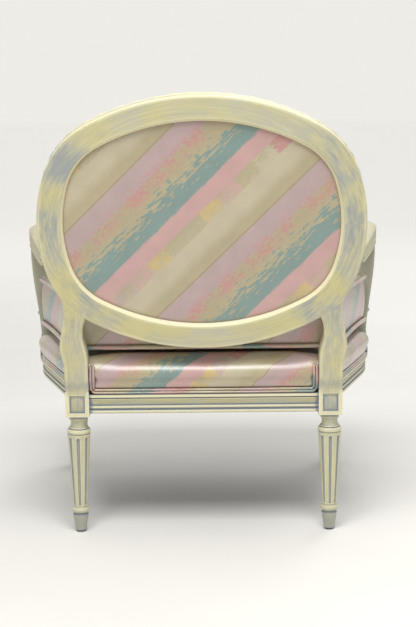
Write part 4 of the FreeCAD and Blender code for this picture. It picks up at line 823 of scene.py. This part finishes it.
class CHAIR_OT_inner_pieces(Operator):
    """Finishes the glides and the hidden joinery, webbing and board"""
    bl_idname = "chair.inner_pieces"
    bl_label = "Finish the inner pieces"

    def execute(self, context):
        beech, glide = bare_beech(), moulded_glide()
        jute = woven("jute_webbing", "#A58A5E", "#6E5637", 3 * MM)
        hessian = woven("coarse_hessian", "#B79B6C", "#7A6140", 2.4 * MM)
        finish_nodes({
            "corner_blocks": beech, "seat_dowels": beech, "back_dowels": beech, "arm_dowels": beech,
            "back_board": beech, "seat_webbing_long": jute, "seat_webbing_cross": jute, "back_webbing": jute,
            "seat_hessian": hessian, "foot_glides": glide,
        })
        return {"FINISHED"}


class CHAIR_OT_outside_back(Operator):
    """Stretches the outside-back cloth in the sunk oval"""
    bl_idname = "chair.outside_back"
    bl_label = "Outside back"

    def execute(self, context):
        # Rings from the oval's middle out, proud * (1 - share^2) off the board and tucked in at the edge
        proud, tucked = 2.5 * MM, 1.2 * MM
        angle = np.linspace(0, 2 * np.pi, 240, endpoint=False)
        share = np.concatenate([np.linspace(0.02, 0.9, 30), np.linspace(0.92, 1, 8)])
        x, y = oval(angle, RING_LIP + 0.4 * MM)
        x, y = share[:, None] * x, share[:, None] * y
        tuck = np.clip((share - 0.965) / 0.035, 0, 1)[:, None] ** 2
        depth = RING_RECESS - proud * (1 - share[:, None] ** 2) + tucked * tuck
        points = leaned(x, OVAL_RISE + y, depth)
        faces = grid_faces(len(share), len(angle)).tolist()
        faces.append(list(range(len(angle) - 1, -1, -1)))
        piece = new_piece("outside_back_cloth", points, faces, np.stack([-x - BACK_SHIFT, y], -1))
        settle(piece, "chair_frame", "stripe_fabric", satin(), "back_outer_cover")
        return {"FINISHED"}


class CHAIR_OT_inside_back(Operator):
    """Stuffs the inside back and sets its double welt"""
    bl_idname = "chair.inside_back"
    bl_label = "Inside back"

    def execute(self, context):
        piece = remeshed("inside_back", ["back_inner_cover", "back_pad"])
        points = points_of(piece)
        behind, height = points[:, 1] - BACK_FACE_Y, points[:, 2] - BLOCK_TOP
        up = height * math.cos(RECLINE) + behind * math.sin(RECLINE)
        forward = height * math.sin(RECLINE) - behind * math.cos(RECLINE)
        held = forward < BACK_THICKNESS + 3 * MM
        softened(piece, held, 24)
        stuffed(piece, held, sizes().puff)
        lay_cloth(piece, np.stack([points[:, 0], up], -1)[corners_of(piece)])
        smoothed(piece)
        settle(piece, "chair_frame", "stripe_fabric", satin(), "back_inner_cover", "back_pad")
        radius = sizes().double_welt
        angle = np.linspace(0, 2 * np.pi, 360, endpoint=False)
        for row, inset in enumerate((RING_FACE - radius, RING_FACE - (1 + WELT_STEP) * radius)):
            x, y = oval(angle, inset)
            path = leaned(x, OVAL_RISE + y, BACK_THICKNESS + radius)
            welt = cord_along(f"inside_back_welt_{row + 1}", path, radius, closed=True)
            settle(welt, "chair_frame", "stripe_fabric", satin(), "back_front_welt")
        return {"FINISHED"}


class CHAIR_OT_deck(Operator):
    """Covers the deck under the cushion and sets the double welt round its foot and up the stiles"""
    bl_idname = "chair.deck"
    bl_label = "Deck"

    def execute(self, context):
        low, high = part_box("deck_cover")
        piece = remeshed("deck", ["deck_cover", "deck_pad"])
        half = seat_line(0)
        rear = [[SEAT_REAR_HALF_WIDTH, BACK_FACE_Y], [-SEAT_REAR_HALF_WIDTH, BACK_FACE_Y]]
        rim = resampled(np.vstack([half[::-1], rear, half * [-1, 1]]), 4 * MM, closed=True)
        held = points_of(piece)[:, 2] < low.z + DECK_HELD
        points = self.bulged(self.rolled(softened(piece, held, 10), low, high), rim, low, high)
        set_points(piece, points)
        stuffed(piece, held, 0.6 * sizes().puff)
        run, inside = along_rim(points, rim)
        lay_cloth(piece, np.stack([run + DECK_SHIFT, points[:, 2] + inside], -1)[corners_of(piece)])
        smoothed(piece)
        settle(piece, "chair_frame", "stripe_fabric", satin(), "deck_cover", "deck_pad")
        self.side_welts(half)
        self.rear_welts(low.z, high.z)
        return {"FINISHED"}

    def rise(self, points, low, high):
        """The share of the height above the drawn-in foot."""
        return np.clip((points[:, 2] - low.z - DECK_FOOT) / (high.z - low.z - DECK_FOOT), 0, 1)

    def rolled(self, points, low, high):
        """Rolls the deck's rear edge and swells its rear face.

        A skin point u in from the rear face and t below the top goes to the arc of radius roll at the turn
        a = 90 degrees * (1/2 + (u - t) / (2 roll)): u = roll (1 - cos a), t = roll (1 - sin a).
        The swell is REAR_SWELL * (1 - (x / half)^4) * sin(pi * share of the height), its ends press on the
        stiles, and the cloth above the drawn-in foot is eased down on the welt.
        """
        roll = DECK_ROLL
        back, below = high.y - points[:, 1], high.z - points[:, 2]
        turn = np.pi / 2 * np.clip(0.5 + (back - below) / (2 * roll), 0, 1)
        edge = (back < roll) & (below < roll)
        points[:, 1] = np.where(edge, high.y - roll * (1 - np.cos(turn)), points[:, 1])
        points[:, 2] = np.where(edge, high.z - roll * (1 - np.sin(turn)), points[:, 2])
        half = REAR_INNER_X - 8 * MM
        across = np.clip(1 - (points[:, 0] / half) ** 4, 0, 1)
        share = self.rise(points, low, high)
        depth = np.clip((points[:, 1] - high.y + 60 * MM) / (40 * MM), 0, 1)
        points[:, 1] += REAR_SWELL * across * np.sin(np.pi * share) * depth
        wide = np.abs(points[:, 0])
        ends = np.clip((wide - REAR_INNER_X + 50 * MM) / (40 * MM), 0, 1) * (wide < REAR_INNER_X + 2 * MM)
        ends *= np.clip((share - 0.2) / 0.3, 0, 1)
        points[:, 0] += np.sign(points[:, 0]) * REAR_SWELL * ends * depth
        points[:, 2] -= 2.2 * MM * np.exp(-(((points[:, 2] - low.z - 14 * MM) / (6 * MM)) ** 2))
        return points

    def bulged(self, points, rim, low, high):
        """Swells the sides between stile and arm post and lifts the edge above to the cushion.

        The swell is SIDE_SWELL * sin(pi * share of the height), fading inwards and towards stile and post.
        """
        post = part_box("arm_post_left")[1].y
        inwards = np.clip(1 - along_rim(points, rim)[1] / (45 * MM), 0, 1)
        ahead = np.clip((BACK_FACE_Y - 60 * MM - points[:, 1]) / (120 * MM), 0, 1)
        fade = inwards * ahead * np.clip((points[:, 1] - post) / (26 * MM), 0, 1)
        share = self.rise(points, low, high)
        points[:, 0] += np.sign(points[:, 0]) * SIDE_SWELL * fade * np.sin(np.pi * share)
        lift = SIDE_LIFT * fade * np.clip((share - 0.5) / 0.3, 0, 1)
        points[:, 2] = np.maximum(points[:, 2], np.minimum(points[:, 2] + lift, high.z))
        return points

    def side_welts(self, half):
        """Two cords on the rail's outer edge, broken at the posts and ending at the stiles."""
        radius = sizes().double_welt
        post_low, post_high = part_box("arm_post_left")
        for row in (0, 1):
            z = RAIL_TOP + radius * (1.1 + WELT_STEP * row)
            line = resampled(seat_line(-2.2 * MM), 4 * MM)
            behind = line[line[:, 1] > post_high.y + 0.6 * MM]
            ahead = line[line[:, 1] < post_low.y + 20 * MM]
            front = np.vstack([ahead, ahead[::-1][1:] * [-1, 1]])
            runs = {"left": behind, "right": behind * [-1, 1], "front": front}
            for side, run in runs.items():
                path = np.column_stack([run, np.full(len(run), z)])
                welt = cord_along(f"deck_welt_{side}_{row + 1}", path, radius)
                settle(welt, "chair_frame", "stripe_fabric", satin(), "deck_welt")

    def rear_welts(self, deck_low, deck_high):
        """Two cords down one stile over the roll, along the rear rail and up the other.

        At t below the top the roll is DECK_ROLL - sqrt(DECK_ROLL^2 - (DECK_ROLL - t)^2) in from the rear.
        """
        radius = sizes().double_welt
        for row in (0, 1):
            step = WELT_STEP * radius * row
            side = REAR_INNER_X - 1.2 * radius - step
            low = RAIL_TOP + 1.1 * radius + step
            bend = 4 * radius - step
            turn = np.linspace(0, math.pi / 2, 10)
            curve = np.stack([side - bend + bend * np.cos(turn), low + bend - bend * np.sin(turn)], -1)
            left = np.vstack([[[side, deck_low + 54 * MM]], curve])
            x, z = resampled(np.vstack([left, left[::-1] * [-1, 1]]), 3 * MM).T
            above = DECK_ROLL - np.clip(deck_high - z, 0, DECK_ROLL)
            inwards = DECK_ROLL - np.sqrt(DECK_ROLL ** 2 - above ** 2)
            swell = 6.5 * MM * np.clip((z - low - bend) / (16 * MM), 0, 1)
            path = np.column_stack([x, BACK_FACE_Y - 8.6 * MM + swell - inwards, z])
            welt = cord_along(f"deck_rear_welt_{row + 1}", path, radius)
            settle(welt, "chair_frame", "stripe_fabric", satin(), "deck_welt")


class CHAIR_OT_cushion(Operator):
    """Stuffs the loose seat cushion between its two seams and sets its welts"""
    bl_idname = "chair.cushion"
    bl_label = "Seat cushion"

    def execute(self, context):
        welts = "cushion_bottom_welt", "cushion_top_welt"
        seams = [(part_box(node)[0].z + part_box(node)[1].z) / 2 for node in welts]
        rim = resampled(rim_of("cushion_cover", seams[1]), 3 * MM, closed=True)
        piece = remeshed("seat_cushion", ["cushion_cover", "cushion_core"])
        points = points_of(piece)
        run, distance = along_rim(points, rim)
        at_seam = np.min([np.abs(points[:, 2] - seam) for seam in seams], axis=0) < 4 * MM
        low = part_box("cushion_cover")[0].z
        held = (at_seam & (distance < 8 * MM)) | (points[:, 2] < low + 1.5 * MM)
        stuffed(piece, held, sizes().puff)
        corner = corners_of(piece)
        height = face_heights(piece)[:, None]
        rear = points[:, 1] > rim[:, 1].max() - 14 * MM
        side = np.stack([run - np.where(rear, CUSHION_SHIFT, 0), points[:, 2]], -1)[corner]
        lay_cloth(piece, np.where((height > seams[0]) & (height < seams[1]), side, points[corner][:, :2]))
        smoothed(piece)
        settle(piece, "cushion", "stripe_fabric", satin(), "cushion_cover", "cushion_core")
        radius = sizes().cushion_welt
        line = rounded(outward_from(rim, radius + 0.2 * MM), 2)
        for name, seam in zip(welts, seams):
            path = np.column_stack([line, np.full(len(line), seam)])
            welt = cord_along(name + "_cord", path, radius, closed=True)
            settle(welt, "cushion", "stripe_fabric", satin(), name)
        return {"FINISHED"}


class CHAIR_OT_carving(Operator):
    """Runs the carved ribbon along the oval's front outer edge, from arm to arm"""
    bl_idname = "chair.carving"
    bl_label = "Carved ribbon"

    def execute(self, context):
        angle = np.linspace(math.radians(-1), math.radians(181), 420)
        x, y = oval(angle, 4.4 * MM)
        path = resampled(leaned(x, OVAL_RISE + y, BACK_THICKNESS - 3.0 * MM), 2 * MM)
        ribbon = cord_along("carved_ribbon", path, sizes().ribbon, sides=20, lobes=0.22,
                            pitch=sizes().ribbon_pitch)
        settle(ribbon, "chair_frame", "painted_wood", bpy.data.materials["rubbed_cream_paint_ring"])
        return {"FINISHED"}


class CHAIR_OT_dust_cover(Operator):
    """Tacks the thin dark cloth under the seat frame"""
    bl_idname = "chair.dust_cover"
    bl_label = "Dust cover"

    def execute(self, context):
        low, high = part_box("dust_cover")
        rim = resampled(rim_of("dust_cover", low.z), 8 * MM, closed=True)
        center = np.array([0, (low.y + high.y) / 2])
        share = np.linspace(0.03, 1, 24)
        plan = center + share[:, None, None] * (rim - center)[None]
        sag = 4 * MM * (1 - share ** 2)
        z = np.broadcast_to((high.z - 0.3 * MM - sag)[:, None], plan.shape[:2])
        points = np.concatenate([plan, z[..., None]], -1)
        faces = grid_faces(len(share), len(rim))[:, ::-1].tolist()
        faces.append(list(range(len(rim))))
        piece = new_piece("dust_cloth", points, faces)
        cambric = woven("dark_cambric", "#1B1B1D", "#0B0B0C", 1.5 * MM)
        settle(piece, "chair_frame", "dust_cloth", cambric, "dust_cover")
        return {"FINISHED"}


class CHAIR_OT_stage(Operator):
    """Sets the pale floor, the soft light and the camera behind the chair"""
    bl_idname = "chair.stage"
    bl_label = "Stage"

    def execute(self, context):
        scene = context.scene
        scene.view_settings.view_transform = "Standard"
        self.floor()
        self.world(scene)
        self.lamp("rear_light", place=(0.1, 1.5, 2.6), turn=(-28, 2, 0), size=(1.7, 1.2), power=52)
        self.lamp("front_light", place=(-1.2, -2.2, 2.6), turn=(40, -18, 0), size=(2.2, 1.6), power=26)
        self.camera(scene)
        return {"FINISHED"}

    def floor(self):
        """Matt pale floor, lifted towards white far from the chair where the camera sees it."""
        half = 20.0
        points = [(-half, -half, 0), (half, -half, 0), (half, half, 0), (-half, half, 0)]
        floor = new_piece("studio_floor", points, [(0, 1, 2, 3)])
        material, tree, shader = new_material("pale_studio_floor")
        at = add(tree, "TexCoord").outputs["Object"]
        tone = colours().floor
        worn = tuple(0.97 * c for c in tone)
        away = add(tree, "VectorMath", at, operation="LENGTH")
        seen = add(tree, "LightPath").outputs["Is Camera Ray"]
        lift = add(tree, "Math", add(tree, "MapRange", away, 1.0, 4.5, **EASED), seen, **TIMES)
        cloudy = add(tree, "TexNoise", at, 3.0, 3.0, 0.5)
        feed(tree, shader, {
            "Base Color": add(tree, "ValToRGB", cloudy, stops=[(0.3, worn), (0.7, tone)]), "Roughness": 0.8,
            "Emission Color": rgba(tone), "Emission Strength": add(tree, "Math", lift, 0.36, **TIMES),
        })
        floor.data.materials.append(material)

    def world(self, scene):
        world = bpy.data.worlds.new("soft_studio")
        scene.world = world
        world.use_nodes = True
        tree = world.node_tree
        tree.nodes.clear()
        rays = add(tree, "LightPath").outputs
        seen = add(tree, "Math", rays["Is Camera Ray"], rays["Is Glossy Ray"], **MOST)
        strength = 0.5
        behind = tuple(0.92 * c for c in colours().floor)
        shown = add(tree, "Mix", seen, (strength, strength, strength, 1), rgba(behind), **BLEND)
        add(tree, "OutputWorld", add(tree, "Background", shown))

    def lamp(self, name, place, turn, size, power):
        light = bpy.data.lights.new(name, "AREA")
        light.shape = "RECTANGLE"
        light.size, light.size_y = size
        light.energy = power
        lamp = bpy.data.objects.new(name, light)
        lamp.location = place
        lamp.rotation_euler = [math.radians(a) for a in turn]
        bpy.context.scene.collection.objects.link(lamp)

    def camera(self, scene):
        behind, height, down, tilt = 2.7, 0.9, math.radians(9.8), math.radians(-0.55)
        data = bpy.data.cameras.new("photo_camera")
        data.sensor_width = 36.0
        data.lens = 82.97
        camera = bpy.data.objects.new("photo_camera", data)
        camera.location = (-9.5 * MM, BACK_FACE_Y + behind, height)
        aim = Euler((math.pi / 2 - down, 0, math.pi)).to_matrix()
        roll = Euler((0, 0, tilt)).to_matrix()
        camera.rotation_euler = (aim @ roll).to_euler()
        scene.collection.objects.link(camera)
        scene.camera = camera


class CHAIR_PT_panel(Panel):
    """Lists the steps of the chair's finish"""
    bl_idname = "CHAIR_PT_panel"
    bl_label = "Chair"
    bl_space_type = "VIEW_3D"
    bl_region_type = "UI"
    bl_category = "Chair"

    def draw(self, context):
        for group in (context.scene.chair_sizes, context.scene.chair_colours):
            for name in group.__annotations__:
                self.layout.prop(group, name)
        for operator in STEPS:
            self.layout.operator(operator.bl_idname)


STEPS = (CHAIR_OT_paint, CHAIR_OT_inner_pieces, CHAIR_OT_outside_back, CHAIR_OT_inside_back, CHAIR_OT_deck,
         CHAIR_OT_cushion, CHAIR_OT_carving, CHAIR_OT_dust_cover, CHAIR_OT_stage)
CLASSES = (ChairSizes, ChairColours, *STEPS, CHAIR_PT_panel)


def register():
    for cls in CLASSES:
        bpy.utils.register_class(cls)
    bpy.types.Scene.chair_sizes = PointerProperty(type=ChairSizes)
    bpy.types.Scene.chair_colours = PointerProperty(type=ChairColours)


def unregister():
    del bpy.types.Scene.chair_colours
    del bpy.types.Scene.chair_sizes
    for cls in reversed(CLASSES):
        bpy.utils.unregister_class(cls)


def main():
    register()
    bpy.ops.chair.paint()
    bpy.ops.chair.inner_pieces()
    bpy.ops.chair.outside_back()
    bpy.ops.chair.inside_back()
    bpy.ops.chair.deck()
    bpy.ops.chair.cushion()
    bpy.ops.chair.carving()
    bpy.ops.chair.dust_cover()
    bpy.ops.chair.stage()


if __name__ == "__main__":
    main()
